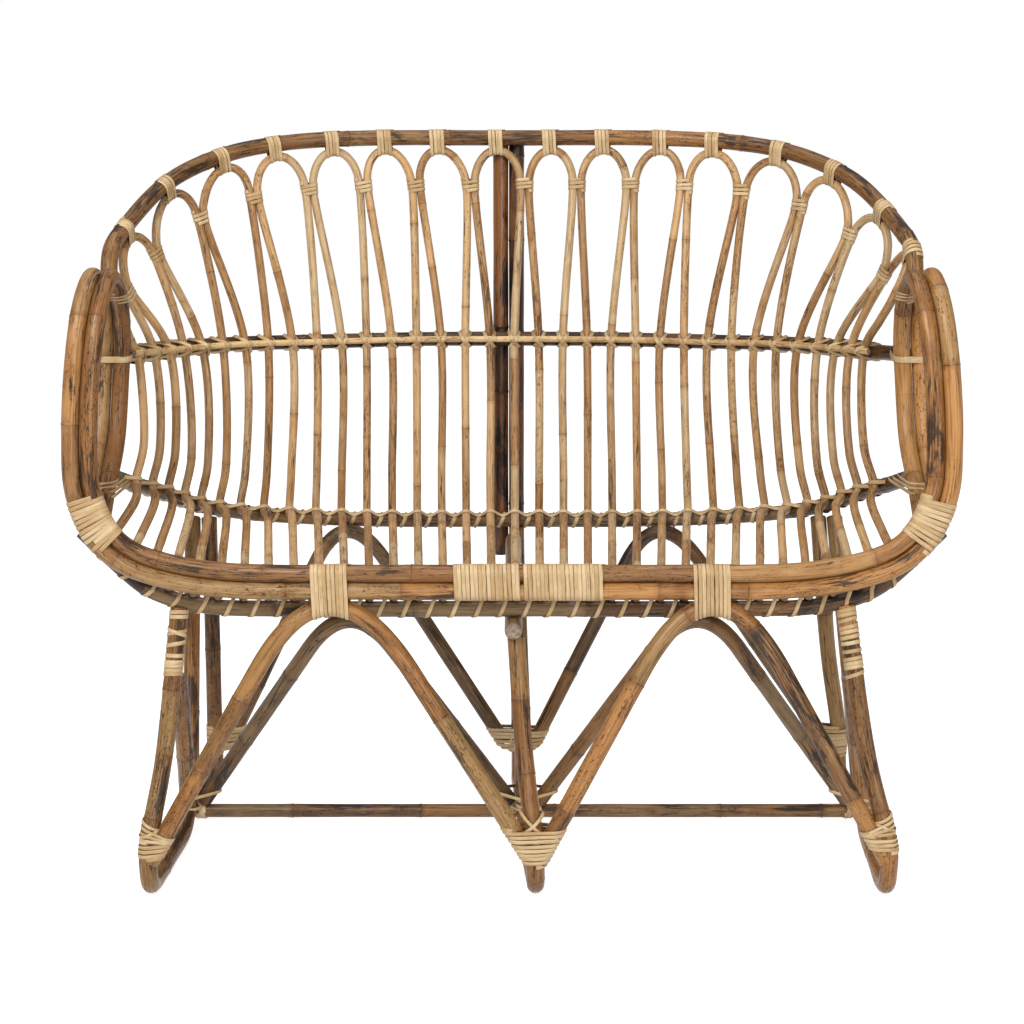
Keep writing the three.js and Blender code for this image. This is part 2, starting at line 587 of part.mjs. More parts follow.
// Arches: an upside-down V with a round top, its legs bound to two frames
const ARCH_ROUND_SHARES = { front: 0.6, second: 0.74, rear: 0.74 }; // how much of a leg is straight
const ARCH_STEPS = 7;
function archStations(apex, leftEnd, rightEnd, straight) {
  const ends = leftEnd.clone().lerp(rightEnd, 0.5);
  const corner = apex.clone().add(apex).addScaledVector(ends, straight - 1);
  corner.divideScalar(1 + straight);
  const left = leftEnd.clone().lerp(corner, straight);
  const right = rightEnd.clone().lerp(corner, straight);
  const top = new THREE.QuadraticBezierCurve3(left, corner, right);
  return [leftEnd, ...top.getSpacedPoints(ARCH_STEPS), rightEnd];
}

const SIDE_BY_SIDE = CANE + CLEAR;
const ARCH_END_GAP = 0.1 * CANE; // the ends are cut slantwise to lie against the legs
const REAR_END_GAP = 0.92 * SIDE_BY_SIDE;
const FRONT_ARCH_END_Z = 2.3 * CANE;
const SECOND_ARCH_END_Z = STRETCHER_Z + STRETCHER / 2 + 0.255 * CANE;
const REAR_ARCH_END_Z = 1.9 * CANE;
const FRONT_ARCH_APEX_Z = FRONT_RAIL_Z - HOOP_SPREAD - SIDE_BY_SIDE + 8 * CLEAR;
const SECOND_ARCH_Y = POLE_Y + 0.3 * POLE; // the second arches carry the pole under the seat
const SECOND_ARCH_APEX_Z = POLE_Z - 0.82 * POLE - CLEAR;
const BAYS = [
  { side: 'left', from: leftFrame, to: centreFrame, apexShares: [-0.424, -0.385, -0.446] },
  { side: 'right', from: centreFrame, to: rightFrame, apexShares: [0.47, 0.44, 0.406] },
];
for (const bay of BAYS) {
  const apexes = bay.apexShares.map((share) => share * SEAT_HALF_WIDTH);
  [bay.frontApex, bay.secondApex, bay.rearApex] = apexes;
}
const frontArches = {};
const rearArches = {};
for (const bay of BAYS) {
  const beside = (frame, name, z, gap) => {
    const place = atHeight(frameStations[frame.side][name], z);
    return place.add(vec(gap, 0, 0));
  };
  const frontLeft = beside(bay.from, 'front', FRONT_ARCH_END_Z, ARCH_END_GAP);
  const frontRight = beside(bay.to, 'front', FRONT_ARCH_END_Z, -ARCH_END_GAP);
  const frontApex = vec(bay.frontApex, FRONT_Y, FRONT_ARCH_APEX_Z);
  const front = archStations(frontApex, frontLeft, frontRight, ARCH_ROUND_SHARES.front);
  frontArches[bay.side] = front;
  const legs = [frameStations[bay.from.side].front, frameStations[bay.to.side].front];
  addPiece(`front_arch_${bay.side}`, scarfed(tube(front, CANE, MAIN_SIDES), legs), FINISH.cane);

  const secondGap = 0.9 * SIDE_BY_SIDE;
  const secondLeft = vec(bay.from.mid + secondGap, MID_NODE_Y, SECOND_ARCH_END_Z);
  const secondRight = vec(bay.to.mid - secondGap, MID_NODE_Y, SECOND_ARCH_END_Z);
  const secondApex = vec(bay.secondApex, SECOND_ARCH_Y, SECOND_ARCH_APEX_Z);
  const second = archStations(secondApex, secondLeft, secondRight, ARCH_ROUND_SHARES.second);
  addPiece(`second_arch_${bay.side}`, tube(second, POLE, MAIN_SIDES), FINISH.pole);

  const rearLeft = beside(bay.from, 'rear', REAR_ARCH_END_Z, REAR_END_GAP);
  const rearRight = beside(bay.to, 'rear', REAR_ARCH_END_Z, -REAR_END_GAP);
  const rail = railAtX(lowerRail, bay.rearApex);
  const rearApex = vec(bay.rearApex, rail.y - 0.66 * POLE, rail.z - 0.73 * POLE);
  const rear = archStations(rearApex, rearLeft, rearRight, ARCH_ROUND_SHARES.rear);
  rearArches[bay.side] = rear;
  addPiece(`rear_arch_${bay.side}`, tube(rear, POLE, MAIN_SIDES), FINISH.pole);
}

// Windings: one flat strip going round two or three canes, without a break.
// A guide gives, for a share of the winding's length, the two end canes that it goes round.
const STRIP_PITCH = STRIP_WIDTH + STRIP_GAP;
const WRAP_STEPS = 8;
const wrapRadius = (radius) => (radius + CLEAR + STRIP_THICKNESS / 2) / Math.cos(Math.PI / WRAP_STEPS);

function windingStations(guide, turns) {
  const stations = [];
  for (let step = 0; step <= turns * WRAP_STEPS; step += 1) {
    const { low, high, axis } = guide(step / (turns * WRAP_STEPS));
    const spread = high.place.clone().sub(low.place);
    const up = spread.addScaledVector(axis, -spread.dot(axis)).normalize();
    const across = axis.clone().cross(up);
    const angle = (2 * Math.PI * (step + 0.5)) / WRAP_STEPS;
    const out = up.clone().multiplyScalar(Math.cos(angle)).addScaledVector(across, Math.sin(angle));
    const core = Math.cos(angle) > 0 ? high : low;
    stations.push({ place: along(core.place, out, wrapRadius(core.radius)), out, axis });
  }
  return stations;
}

// The strip as one closed ribbon, four corners at each station
function ribbon(stations) {
  const corners = [[-1, -1], [1, -1], [1, 1], [-1, 1]];
  const positions = [];
  for (const { place, out, axis } of stations) {
    for (const [across, outward] of corners) {
      const corner = along(place, axis, (across * STRIP_WIDTH) / 2);
      positions.push(...along(corner, out, (outward * STRIP_THICKNESS) / 2).toArray());
    }
  }
  const index = [0, 2, 1, 0, 3, 2];
  for (let step = 0; step < stations.length - 1; step += 1) {
    for (let corner = 0; corner < 4; corner += 1) {
      const here = step * 4 + corner;
      const beside = step * 4 + ((corner + 1) % 4);
      index.push(here, beside, here + 4, beside, beside + 4, here + 4);
    }
  }
  const last = (stations.length - 1) * 4;
  index.push(last, last + 1, last + 2, last, last + 2, last + 3);
  const geometry = new THREE.BufferGeometry();
  geometry.setAttribute('position', new THREE.Float32BufferAttribute(positions, 3));
  geometry.setIndex(index);
  geometry.computeVertexNormals();
  return geometry;
}

// The least space between two turns, measured corner to corner on neighbouring turns
let leastGap = Infinity;
function measureGap(stations) {
  for (let step = 0; step + WRAP_STEPS < stations.length; step += 1) {
    const here = stations[step];
    const next = stations[step + WRAP_STEPS];
    const here1 = along(here.place, here.axis, STRIP_WIDTH / 2);
    const next1 = along(next.place, next.axis, -STRIP_WIDTH / 2);
    leastGap = Math.min(leastGap, here1.distanceTo(next1));
  }
}

function addWinding(name, guide, turns) {
  const stations = windingStations(guide, turns);
  measureGap(stations);
  addPiece(name, ribbon(stations), FINISH.strip);
}

const EAST = vec(1, 0, 0);
const UP = vec(0, 0, 1);
const cornerIndex = hoopStations.findIndex((station) => station.z > FRONT_RAIL_Z + CANE);
const frontHalf = hoopStations.slice(0, cornerIndex + 1);
const frontRail = new Rail([...[...frontHalf].reverse(), ...frontHalf.map(mirrored)]);
function frontWinding(fromX, turns, lowest) {
  return (share) => {
    const x = fromX + share * turns * STRIP_PITCH;
    const joint = railAtX(frontRail, x);
    const lowPlace = lowest(x) ?? vec(x, FRONT_Y, joint.z - HOOP_SPREAD);
    return {
      low: { place: lowPlace, radius: CANE / 2 + 2 * CLEAR },
      high: { place: vec(x, FRONT_Y, joint.z + HOOP_SPREAD), radius: CANE / 2 + 2 * CLEAR },
      axis: EAST,
    };
  };
}

// Two wide windings side by side over the joints of the front canes
const CENTRE_TURNS = { left: 16, right: 19 };
const CENTRE_WINDING_X = 14; // where the two windings meet
const plainLow = () => null;
const leftStart = CENTRE_WINDING_X - CENTRE_TURNS.left * STRIP_PITCH - STRIP_PITCH;
const leftGuide = frontWinding(leftStart, CENTRE_TURNS.left, plainLow);
const rightGuide = frontWinding(CENTRE_WINDING_X, CENTRE_TURNS.right, plainLow);
addWinding('centre_winding_left', leftGuide, CENTRE_TURNS.left);
addWinding('centre_winding_right', rightGuide, CENTRE_TURNS.right);

// One winding round the front canes and the top of each front arch
const ARCH_TURNS = 9;
for (const bay of BAYS) {
  const arch = frontArches[bay.side];
  const archLow = (x) => {
    const index = arch.findIndex((station) => station.x > x);
    const share = (x - arch[index - 1].x) / (arch[index].x - arch[index - 1].x);
    const slope = unit(arch[index - 1], arch[index]).x;
    const place = arch[index - 1].clone().lerp(arch[index], share);
    const lower = CANE / 2 / slope - CANE / 2 + 9 * CLEAR;
    return vec(x, place.y, place.z - lower);
  };
  const fromX = bay.frontApex - (ARCH_TURNS * STRIP_PITCH) / 2;
  addWinding(`arch_winding_${bay.side}`, frontWinding(fromX, ARCH_TURNS, archLow), ARCH_TURNS);
}

// One winding round each front corner, where the rail turns up into the arm
const CORNER_TURNS = 9;
const CORNER_START = 0.96 * SEAT_HALF_WIDTH;
const CORNER_PITCH = 1.32 * STRIP_PITCH; // wider, because the turns close up inside the bend
const hoopRails = { left: new Rail(hoopStations), right: new Rail(hoopStations.map(mirrored)) };
for (const [side, rail] of Object.entries(hoopRails)) {
  const guide = (share) => {
    const distance = CORNER_START + share * CORNER_TURNS * CORNER_PITCH - rail.length / 2;
    const place = rail.at(distance);
    const axis = rail.direction(distance);
    const across = squareTo(axis, vec(0, -1, 0), vec(0, 0, 1));
    const low = { place: along(place, across, -HOOP_SPREAD), radius: CANE / 2 + CLEAR };
    const high = { place: along(place, across, HOOP_SPREAD), radius: CANE / 2 + CLEAR };
    return { low, high, axis };
  };
  addWinding(`corner_winding_${side}`, guide, CORNER_TURNS);
}

// Windings round a foot and the arch legs that end beside it
const FRONT_FOOT_TURNS = 6;
const REAR_FOOT_TURNS = 7;
function archEnds(arches, side) {
  const leftEnd = (arch) => arch.slice(0, 2);
  const rightEnd = (arch) => arch.slice(-2).reverse();
  if (side === 'left') return [leftEnd(arches.left)];
  if (side === 'right') return [rightEnd(arches.right)];
  return [rightEnd(arches.left), leftEnd(arches.right)];
}

function footGuide(leg, arches, endZ, turns, diameter) {
  return (share) => {
    const z = endZ + STRIP_PITCH * (0.7 + share * turns);
    const own = { place: atHeight(leg, z), radius: CANE / 2 + 4 * CLEAR };
    const posts = arches.map(([end, above]) => {
      const share = (z - end.z) / (above.z - end.z);
      const lean = unit(end, above).z;
      return { place: end.clone().lerp(above, share), radius: diameter / 2 / lean + 4 * CLEAR };
    });
    const row = [own, ...posts].sort((one, other) => one.place.x - other.place.x);
    const depths = row.map((core) => core.place.y);
    const y = (Math.min(...depths) + Math.max(...depths)) / 2;
    const bulge = Math.max(...depths) - y;
    const [low, high] = [row[0], row.at(-1)].map((core) => ({
      place: vec(core.place.x, y, z),
      radius: core.radius + bulge,
    }));
    return { low, high, axis: UP };
  };
}

for (const { side } of FRAMES) {
  const legs = frameStations[side];
  const frontEnds = archEnds(frontArches, side);
  const rearEnds = archEnds(rearArches, side);
  const front = footGuide(legs.front, frontEnds, FRONT_ARCH_END_Z, FRONT_FOOT_TURNS, CANE);
  const rear = footGuide(legs.rear, rearEnds, REAR_ARCH_END_Z, REAR_FOOT_TURNS, POLE);
  addWinding(`${side}_front_foot_winding`, front, FRONT_FOOT_TURNS);
  addWinding(`${side}_rear_foot_winding`, rear, REAR_FOOT_TURNS);
}

console.log(`least gap between two turns of a winding: ${leastGap.toFixed(2)} mm`);

// The origin lies in the middle of the base
const middle = new THREE.Box3().setFromObject(group).getCenter(vec(0, 0, 0));
for (const mesh of group.children) mesh.geometry.translate(-middle.x, -middle.y, 0);
console.log(`shifted by ${(-middle.x).toFixed(3)}, ${(-middle.y).toFixed(3)} mm`);

export default group;
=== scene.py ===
"""Rattan garden sofa: bent canes, hairpin spindles and flat cane bindings.

All sizes are millimetres until a mesh is made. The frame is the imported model's.
"""
import math

import bpy
import numpy as np
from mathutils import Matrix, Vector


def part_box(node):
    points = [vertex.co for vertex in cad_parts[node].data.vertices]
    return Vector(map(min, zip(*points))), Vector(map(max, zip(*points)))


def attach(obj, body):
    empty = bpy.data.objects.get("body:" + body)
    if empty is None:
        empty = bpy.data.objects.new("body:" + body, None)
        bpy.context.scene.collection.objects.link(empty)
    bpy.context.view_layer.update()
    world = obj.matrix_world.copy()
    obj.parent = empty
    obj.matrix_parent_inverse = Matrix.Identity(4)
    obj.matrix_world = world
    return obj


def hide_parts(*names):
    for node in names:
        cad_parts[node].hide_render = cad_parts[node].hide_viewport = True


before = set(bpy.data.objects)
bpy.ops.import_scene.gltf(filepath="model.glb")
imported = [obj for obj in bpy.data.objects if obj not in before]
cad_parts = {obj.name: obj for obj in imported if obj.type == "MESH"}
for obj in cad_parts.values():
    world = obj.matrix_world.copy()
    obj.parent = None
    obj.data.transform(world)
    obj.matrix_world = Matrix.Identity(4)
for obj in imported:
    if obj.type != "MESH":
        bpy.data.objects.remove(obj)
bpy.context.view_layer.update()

MM = 0.001

# Stock sizes
CANE = 23.0
POLE = 21.0
STRETCHER = 19.0
SPINDLE = 12.0
LATH = 7.0
STRIP_WIDTH = 4.9
STRIP_THICKNESS = 0.9
STRIP_PITCH = 5.3
CLEAR = 0.3

# The seat and its front rail
HALF = 548.0  # half the width, to the middle of the arm canes
FRONT_Y = -295.0
FRONT_RAIL_Z = 404.0
SEAT_BACK_Y = 190.0
SEAT_BACK_Z = 367.0
SEAT_SAG = 5.0

# Back and arms
BACK_TOP_Y = 280.0
BACK_TOP_Z = 928.0
BACK_MID_Y = 240.0
BACK_MID_Z = SEAT_BACK_Z + 0.476 * (BACK_TOP_Z - SEAT_BACK_Z)
ARM_TOP_Y = -188.0
ARM_TOP_Z = FRONT_RAIL_Z + 0.7214 * (BACK_TOP_Z - FRONT_RAIL_Z)
ARM_REAR_Y = -92.0
ARM_REAR_Z = FRONT_RAIL_Z + 0.4504 * (BACK_TOP_Z - FRONT_RAIL_Z)

# The base
FRONT_FOOT_Y = -368.0
REAR_FOOT_Y = 70.0
MID_NODE_Y = -128.0
FOOT_BEND = 30.0
FOOT_GRIND = 1.7
STRETCHER_Z = 27.0

# How the spindles are spread along a rail, as shares of the half width
LOOP_COUNT = 17
FRONT_SHARES = (-0.0191, 0.0569, -0.00005, 0.00001)
LOWER_SHARES = (-0.0255, 0.0664, -0.00006, 0.000036)
MID_SHARES = (-0.0272, 0.0667, -0.0001, 0.0000124)
TOP_LOOP_SHARES = (
    -0.976, -0.842, -0.692, -0.548, -0.439, -0.329, -0.233, -0.134, -0.027,
    0.072, 0.169, 0.274, 0.373, 0.497, 0.626, 0.782, 0.916,
)

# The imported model's origin is the middle of the base
stretcher_low, stretcher_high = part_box("stretcher")
SHIFT_Y = (stretcher_low[1] + stretcher_high[1]) / 2 / MM - MID_NODE_Y

FINE_STEP = 2.0  # spacing of the points of a path


def vec(x, y, z):
    return np.array([x, y, z], dtype=float)


def unit(vector):
    return vector / max(np.linalg.norm(vector), 1e-12)


def units(vectors):
    return vectors / np.linalg.norm(vectors, axis=1)[:, None]


def heading(start, end):
    return unit(end - start)


def mirrored(points):
    return np.asarray(points) * np.array([-1.0, 1.0, 1.0])


def between(start, end, share):
    return start + (end - start) * share


UP = vec(0, 0, 1)
EAST = vec(1, 0, 0)
FRONTWARDS = vec(0, -1, 0)


# Paths

def spline_point(points, share):
    """A point of the centripetal spline that the solids follow."""
    last = len(points) - 1
    place = last * share
    index = min(int(math.floor(place)), last - 1)
    weight = place - index
    first, second = points[index], points[index + 1]
    before = points[index - 1] if index > 0 else 2 * points[0] - points[1]
    after = points[index + 2] if index + 2 <= last else 2 * points[last] - points[last - 1]
    steps = [np.linalg.norm(b - a) ** 0.5 for a, b in ((before, first), (first, second), (second, after))]
    start_slope = (first - before) / steps[0] - (second - before) / (steps[0] + steps[1])
    start_slope = (start_slope + (second - first) / steps[1]) * steps[1]
    end_slope = (second - first) / steps[1] - (after - first) / (steps[1] + steps[2])
    end_slope = (end_slope + (after - second) / steps[2]) * steps[1]
    square = -3 * first + 3 * second - 2 * start_slope - end_slope
    cube = 2 * first - 2 * second + start_slope + end_slope
    return first + start_slope * weight + square * weight**2 + cube * weight**3


def lengths_of(points):
    steps = np.linalg.norm(np.diff(points, axis=0), axis=1)
    return np.concatenate([[0.0], np.cumsum(steps)])


def places_along(points, lengths, distances):
    return np.stack([np.interp(distances, lengths, points[:, axis]) for axis in range(3)], axis=-1)


def resampled(points, step=FINE_STEP):
    points = np.asarray(points)
    lengths = lengths_of(points)
    count = max(int(round(lengths[-1] / step)), 4)
    return places_along(points, lengths, np.linspace(0, lengths[-1], count + 1))


def smooth(points):
    points = [np.asarray(point, dtype=float) for point in points]
    count = 30 * (len(points) - 1)
    dense = np.array([spline_point(points, index / count) for index in range(count + 1)])
    return resampled(dense)


class Path:
    """A path with equal steps, measured from its middle. Its shares spread the spindles along it."""

    def __init__(self, points, shares=()):
        self.points = np.asarray(points)
        self.shares = shares
        self.lengths = lengths_of(self.points)
        self.length = self.lengths[-1]

    def from_start(self, distance):
        return places_along(self.points, self.lengths, np.clip(distance, 0.0, self.length))

    def at(self, distance):
        return self.from_start(self.length / 2 + distance)

    def direction(self, distance):
        return heading(self.at(distance - SPINDLE), self.at(distance + SPINDLE))

    def spread(self, number):
        """The distance to a spindle, by its number from the middle."""
        return sum(share * number**power for power, share in enumerate(self.shares)) * HALF

    def spindle(self, number):
        """The place of a spindle and the path's direction there."""
        distance = self.spread(number)
        return self.at(distance), self.direction(distance)

    def towards(self, distance):
        return heading(self.from_start(distance - 3.0), self.from_start(distance + 3.0))

    def at_x(self, x):
        return self.points[int(np.argmin(np.abs(self.points[:, 0] - x)))]

    def at_height(self, z):
        """Going down from the first point."""
        return self.points[int(np.argmax(self.points[:, 2] < z))]


def symmetric(left_points, shares=()):
    points = np.array(left_points)
    return Path(smooth(np.concatenate([points, mirrored(points[:-1])[::-1]])), shares)


HOOP_SPREAD = (CANE + CLEAR) / 2


def anchored(y, z, rows):
    """Points as shares of the half width, then canes back and up from a place."""
    return [vec(share * HALF, y + back * CANE, z + up * CANE) for share, back, up in rows]


hoop_points = [
    vec(-CLEAR / 2, FRONT_Y, FRONT_RAIL_Z),
    *anchored(FRONT_Y, FRONT_RAIL_Z, (
        (-0.34, 0, 0), (-0.66, 0, 0.1), (-0.8, 0, 0.6), (-0.893, 0, 1.4), (-0.953, 0, 2.7),
        (-0.994, 0.2, 5), (-1, 0.5, 8),
    )),
    *anchored(FRONT_Y, ARM_TOP_Z, [(-0.985, 1.1, -3.6)]),
    *anchored(ARM_TOP_Y, ARM_TOP_Z, ((-0.972, -2.3, -1.05), (-0.965, 0, 0), (-0.965, 2.4, -1.5))),
    *anchored(ARM_REAR_Y, ARM_TOP_Z, [(-0.972, -0.35, -4)]),
    *anchored(ARM_REAR_Y, ARM_REAR_Z, ((-0.982, 0, 0), (-0.99, -1.1, -3.6), (-0.998, -3.8, -6.1))),
    *anchored(FRONT_Y, FRONT_RAIL_Z, [(-0.987, 1.75, 3.2)]),
]


def shifted_sweep(points, distance):
    """The same sweep shifted by a direction that turns with it and starts straight up."""
    side = UP
    shifted = []
    for index, point in enumerate(points):
        before = points[max(index - 1, 0)]
        after = points[min(index + 1, len(points) - 1)]
        ahead = heading(before, after)
        side = unit(side - ahead * side.dot(ahead))
        shifted.append(point + side * distance)
    return np.array(shifted)


hoop = smooth(hoop_points)
inner_hoop = shifted_sweep(hoop, HOOP_SPREAD)
outer_hoop = shifted_sweep(hoop, -HOOP_SPREAD)

top_rail = symmetric([
    *anchored(ARM_REAR_Y, ARM_TOP_Z, [(-0.985, 0.3, -1.9)]),
    *anchored(ARM_TOP_Y, ARM_TOP_Z, [(-0.985, 5.7, 0.7)]),
    *anchored(BACK_TOP_Y, BACK_TOP_Z, (
        (-0.967, -12.2, -4.5), (-0.88, -7.4, -2.1), (-0.75, -3.8, -0.75), (-0.61, -1.9, -0.2),
        (-0.42, -0.5, 0), (0, 0, 0),
    )),
])
mid_rail = symmetric([
    *anchored(ARM_REAR_Y, BACK_MID_Z, [(-0.975, 0.95, 1.2)]),
    *anchored(BACK_MID_Y, BACK_MID_Z, (
        (-0.935, -11, 0.9), (-0.86, -6.7, 0.5), (-0.715, -3.2, 0.2), (-0.53, -1.2, 0),
        (-0.26, -0.2, 0), (0, 0, 0),
    )),
], MID_SHARES)
lower_rail = symmetric([
    *anchored(ARM_REAR_Y, SEAT_BACK_Z, [(-0.967, -1.95, 6)]),
    *anchored(SEAT_BACK_Y, SEAT_BACK_Z, (
        (-0.943, -12.2, 5.2), (-0.9, -9, 4), (-0.82, -4.8, 2.1), (-0.715, -2.2, 1), (-0.53, -0.7, 0.3),
        (-0.26, -0.1, 0), (0, 0, 0),
    )),
], LOWER_SHARES)
SPINDLE_END_Z = FRONT_RAIL_Z - 1.12 * CANE
POLE_Z = SPINDLE_END_Z - SPINDLE / 2 - POLE / 2 - CLEAR
POLE_Y = FRONT_Y + CANE + 8 * CLEAR
seat_pole = symmetric(anchored(POLE_Y, POLE_Z, (
    (-1.01, 0.15, 4.5), (-0.94, 0.1, 2.8), (-0.855, 0, 1.1), (-0.735, 0, 0.2), (-0.5, 0, 0), (0, 0, 0),
)), FRONT_SHARES)

# Hairpin spindles
TIE_DROP = 3 * CANE
SPINDLE_OVERRUN = 0.4 * SPINDLE
BEND_REACH = 4 * SPINDLE
BEND_RISE = 0.9 * SPINDLE
LOOP_TOP_STEPS = 8
OUTER_TIE_SHIFT = 1.9 * SPINDLE
POLE_TO_SPINDLE = POLE / 2 + SPINDLE / 2 + CLEAR


def top_distance(loop):
    """The distance from the middle of the top rail to a loop."""
    place = min(max(loop + (LOOP_COUNT - 1) / 2, -0.5), LOOP_COUNT - 0.5)
    index = min(max(int(math.floor(place)), 0), LOOP_COUNT - 2)
    share = between(TOP_LOOP_SHARES[index], TOP_LOOP_SHARES[index + 1], place - index)
    return share * top_rail.length / 2


def square_to(first, second, towards):
    square = unit(np.cross(first, second))
    return -square if square.dot(towards) < 0 else square


def below_top(loop):
    """The place of a loop on the top rail, the way down from it and the rail's direction."""
    distance = top_distance(loop)
    place = top_rail.at(distance)
    down = heading(place, mid_rail.spindle(2 * loop)[0])
    return place, down, top_rail.direction(distance)


def tie_middle(boundary):
    """The place between two loops where they are tied, and the way down from it."""
    place, down, across = below_top(boundary)
    return place + down * TIE_DROP, down, across


def tie_place(boundary, sideways):
    tie, _, across = tie_middle(boundary)
    if abs(boundary) == LOOP_COUNT / 2:
        tie = tie + EAST * sideways * OUTER_TIE_SHIFT
    return tie + across * sideways * (SPINDLE + CLEAR) / 2


def loop_top(loop):
    place, down, ahead = below_top(loop)
    below = unit(down - ahead * down.dot(ahead))
    return place + below * (CANE / 2 + SPINDLE / 2 + CLEAR)


def seat_corner(number):
    """A spindle's place on the lower rail, and the ways to its bend, its front end and the middle rail."""
    place, rail = lower_rail.spindle(number)
    to_front = heading(place, seat_pole.spindle(number)[0])
    to_mid = heading(place, mid_rail.spindle(number)[0])
    return place, square_to(rail, to_mid - to_front, to_front + to_mid), to_front, to_mid


def leg_points(number, tie):
    rest, pole_way = seat_pole.spindle(number)
    mid, mid_way = mid_rail.spindle(number)
    lower, inward, to_front, to_mid = seat_corner(number)
    front = rest + square_to(pole_way, to_front, UP) * POLE_TO_SPINDLE
    bend = lower + inward * POLE_TO_SPINDLE
    seat_side = bend + to_front * BEND_REACH + inward * BEND_RISE
    back_side = bend + to_mid * BEND_REACH + inward * BEND_RISE
    mid_pass = mid + square_to(mid_way, to_mid, to_front) * (POLE_TO_SPINDLE + CLEAR)
    seat_middle = between(front, seat_side, 0.5) - UP * SEAT_SAG
    front_end = front + heading(seat_middle, front) * SPINDLE_OVERRUN
    return [front_end, seat_middle, seat_side, bend, back_side, mid_pass, tie]


def hairpin_path(loop):
    left_tie = tie_place(loop - 0.5, 1)
    right_tie = tie_place(loop + 0.5, -1)
    middle = between(left_tie, right_tie, 0.5)
    half = right_tie - middle
    rise = loop_top(loop) - middle
    arc = []
    for step in range(1, LOOP_TOP_STEPS):
        angle = math.pi * (1 - step / LOOP_TOP_STEPS)
        arc.append(middle + half * math.cos(angle) + rise * math.sin(angle))
    left = leg_points(2 * loop - 0.5, left_tie)
    right = leg_points(2 * loop + 0.5, right_tie)[::-1]
    return smooth(left + arc + right)


# The base frames
FRAME_SHARES = {
    "left": (-0.7865, -0.8535, -0.822, -0.803, -0.825),
    "centre": (0.0095, 0.0555, 0.0325, 0.02, 0.0125),
    "right": (0.7895, 0.8845, 0.89, 0.884, 0.832),
}
TOP_LIFT = {"left": -6 * CLEAR, "centre": -11 * CLEAR, "right": 2 * CLEAR}
FRAME_SPREAD = (CANE + 2 * CLEAR) / 2
FOOT_Z = CANE / 2 - FOOT_GRIND
RETURN_END = 0.26  # how far down the front leg the returning end leans against it
NODE_REACH = STRETCHER / 2 + CANE / 2 + CLEAR - 0.2 * CANE


def floor_points(foot_x, foot_y, mid, rising_x, share, inwards):
    """The bend at a foot, the run along the floor and the bend up at the mid node."""
    node_y = MID_NODE_Y - inwards * NODE_REACH
    return [
        vec(foot_x, foot_y, FOOT_Z + 1.9 * FOOT_BEND),
        vec(foot_x, foot_y - inwards * 0.05 * FOOT_BEND, FOOT_Z + FOOT_BEND),
        vec(foot_x, foot_y + inwards * 0.28 * FOOT_BEND, FOOT_Z + 0.28 * FOOT_BEND),
        vec(foot_x, foot_y + inwards * FOOT_BEND, FOOT_Z),
        vec(between(foot_x, mid, share), between(foot_y, MID_NODE_Y, 0.45), FOOT_Z + 0.1 * CANE),
        vec(between(foot_x, mid, 0.9), node_y - inwards * 1.3 * CANE, FOOT_Z + 0.3 * CANE),
        vec(mid, node_y, FOOT_Z + 1.3 * CANE),
        vec(rising_x, node_y - inwards * 0.55 * CANE, FOOT_Z + 3.2 * CANE),
    ]


def frame_canes(side):
    front_top, front_foot, mid, rear_foot, rear_top = (share * HALF for share in FRAME_SHARES[side])
    centred = side == "centre"
    outward = 1 if side == "right" else -1
    apart = EAST * (0 if centred else outward * FRAME_SPREAD)
    reach, drop = (-0.14 * CANE, 0.03 * CANE) if centred else (0.5 * CANE, 0.47 * CANE)
    pole = seat_pole.at_x(front_top)
    under = pole[2] - POLE / 2 + TOP_LIFT[side] - (CANE if centred else 0)
    rail = lower_rail.at_x(rear_top)
    rail_under = rail[2] - POLE / 2 - drop
    rear_top_y = rail[1] + reach
    end_x = between(front_top, front_foot, RETURN_END) - outward * (0 if centred else 0.2 * CANE)
    end_y = between(POLE_Y, FRONT_FOOT_Y, RETURN_END) + 1.25 * CANE
    front_cane = [
        vec(front_top, POLE_Y - 0.25 * CANE, under),
        vec(between(front_top, front_foot, 0.5), between(POLE_Y, FRONT_FOOT_Y, 0.55), under / 2),
        *floor_points(front_foot, FRONT_FOOT_Y, mid, between(mid, front_top, 0.12), 0.45, 1),
        vec(end_x, end_y, under * (1 - RETURN_END)),
    ]
    # The other end of the rear cane stands beside its top, or before it in the centre frame
    first_top = second_top = vec(rear_top, rear_top_y, rail_under)
    if centred:
        second_top = vec(rear_top, between(rear_top_y, REAR_FOOT_Y, 0.09) - 1.12 * CANE, rail_under * 0.91)
    rear_cane = [
        first_top - apart,
        (first_top - apart + vec(rear_foot, REAR_FOOT_Y, 0)) / 2,
        *floor_points(rear_foot, REAR_FOOT_Y, mid, between(mid, rear_top, 0.08), 0.4, -1),
        second_top + apart,
    ]
    return smooth(front_cane), smooth(rear_cane)


# Arches
SIDE_BY_SIDE = CANE + CLEAR
ARCH_END_GAP = 0.1 * CANE
SECOND_END_GAP = 0.9 * SIDE_BY_SIDE
REAR_END_GAP = 0.92 * SIDE_BY_SIDE
FRONT_ARCH_END_Z = 2.3 * CANE
SECOND_ARCH_END_Z = STRETCHER_Z + STRETCHER / 2 + 0.255 * CANE
REAR_ARCH_END_Z = 2.5 * CANE
FRONT_ARCH_APEX_Z = FRONT_RAIL_Z - HOOP_SPREAD - SIDE_BY_SIDE + 8 * CLEAR
SECOND_ARCH_Y = POLE_Y + 0.3 * POLE
SECOND_ARCH_APEX_Z = POLE_Z - 0.82 * POLE - CLEAR
BAYS = {
    "left": ("left", "centre", (-0.424, -0.385, -0.446)),
    "right": ("centre", "right", (0.47, 0.44, 0.406)),
}


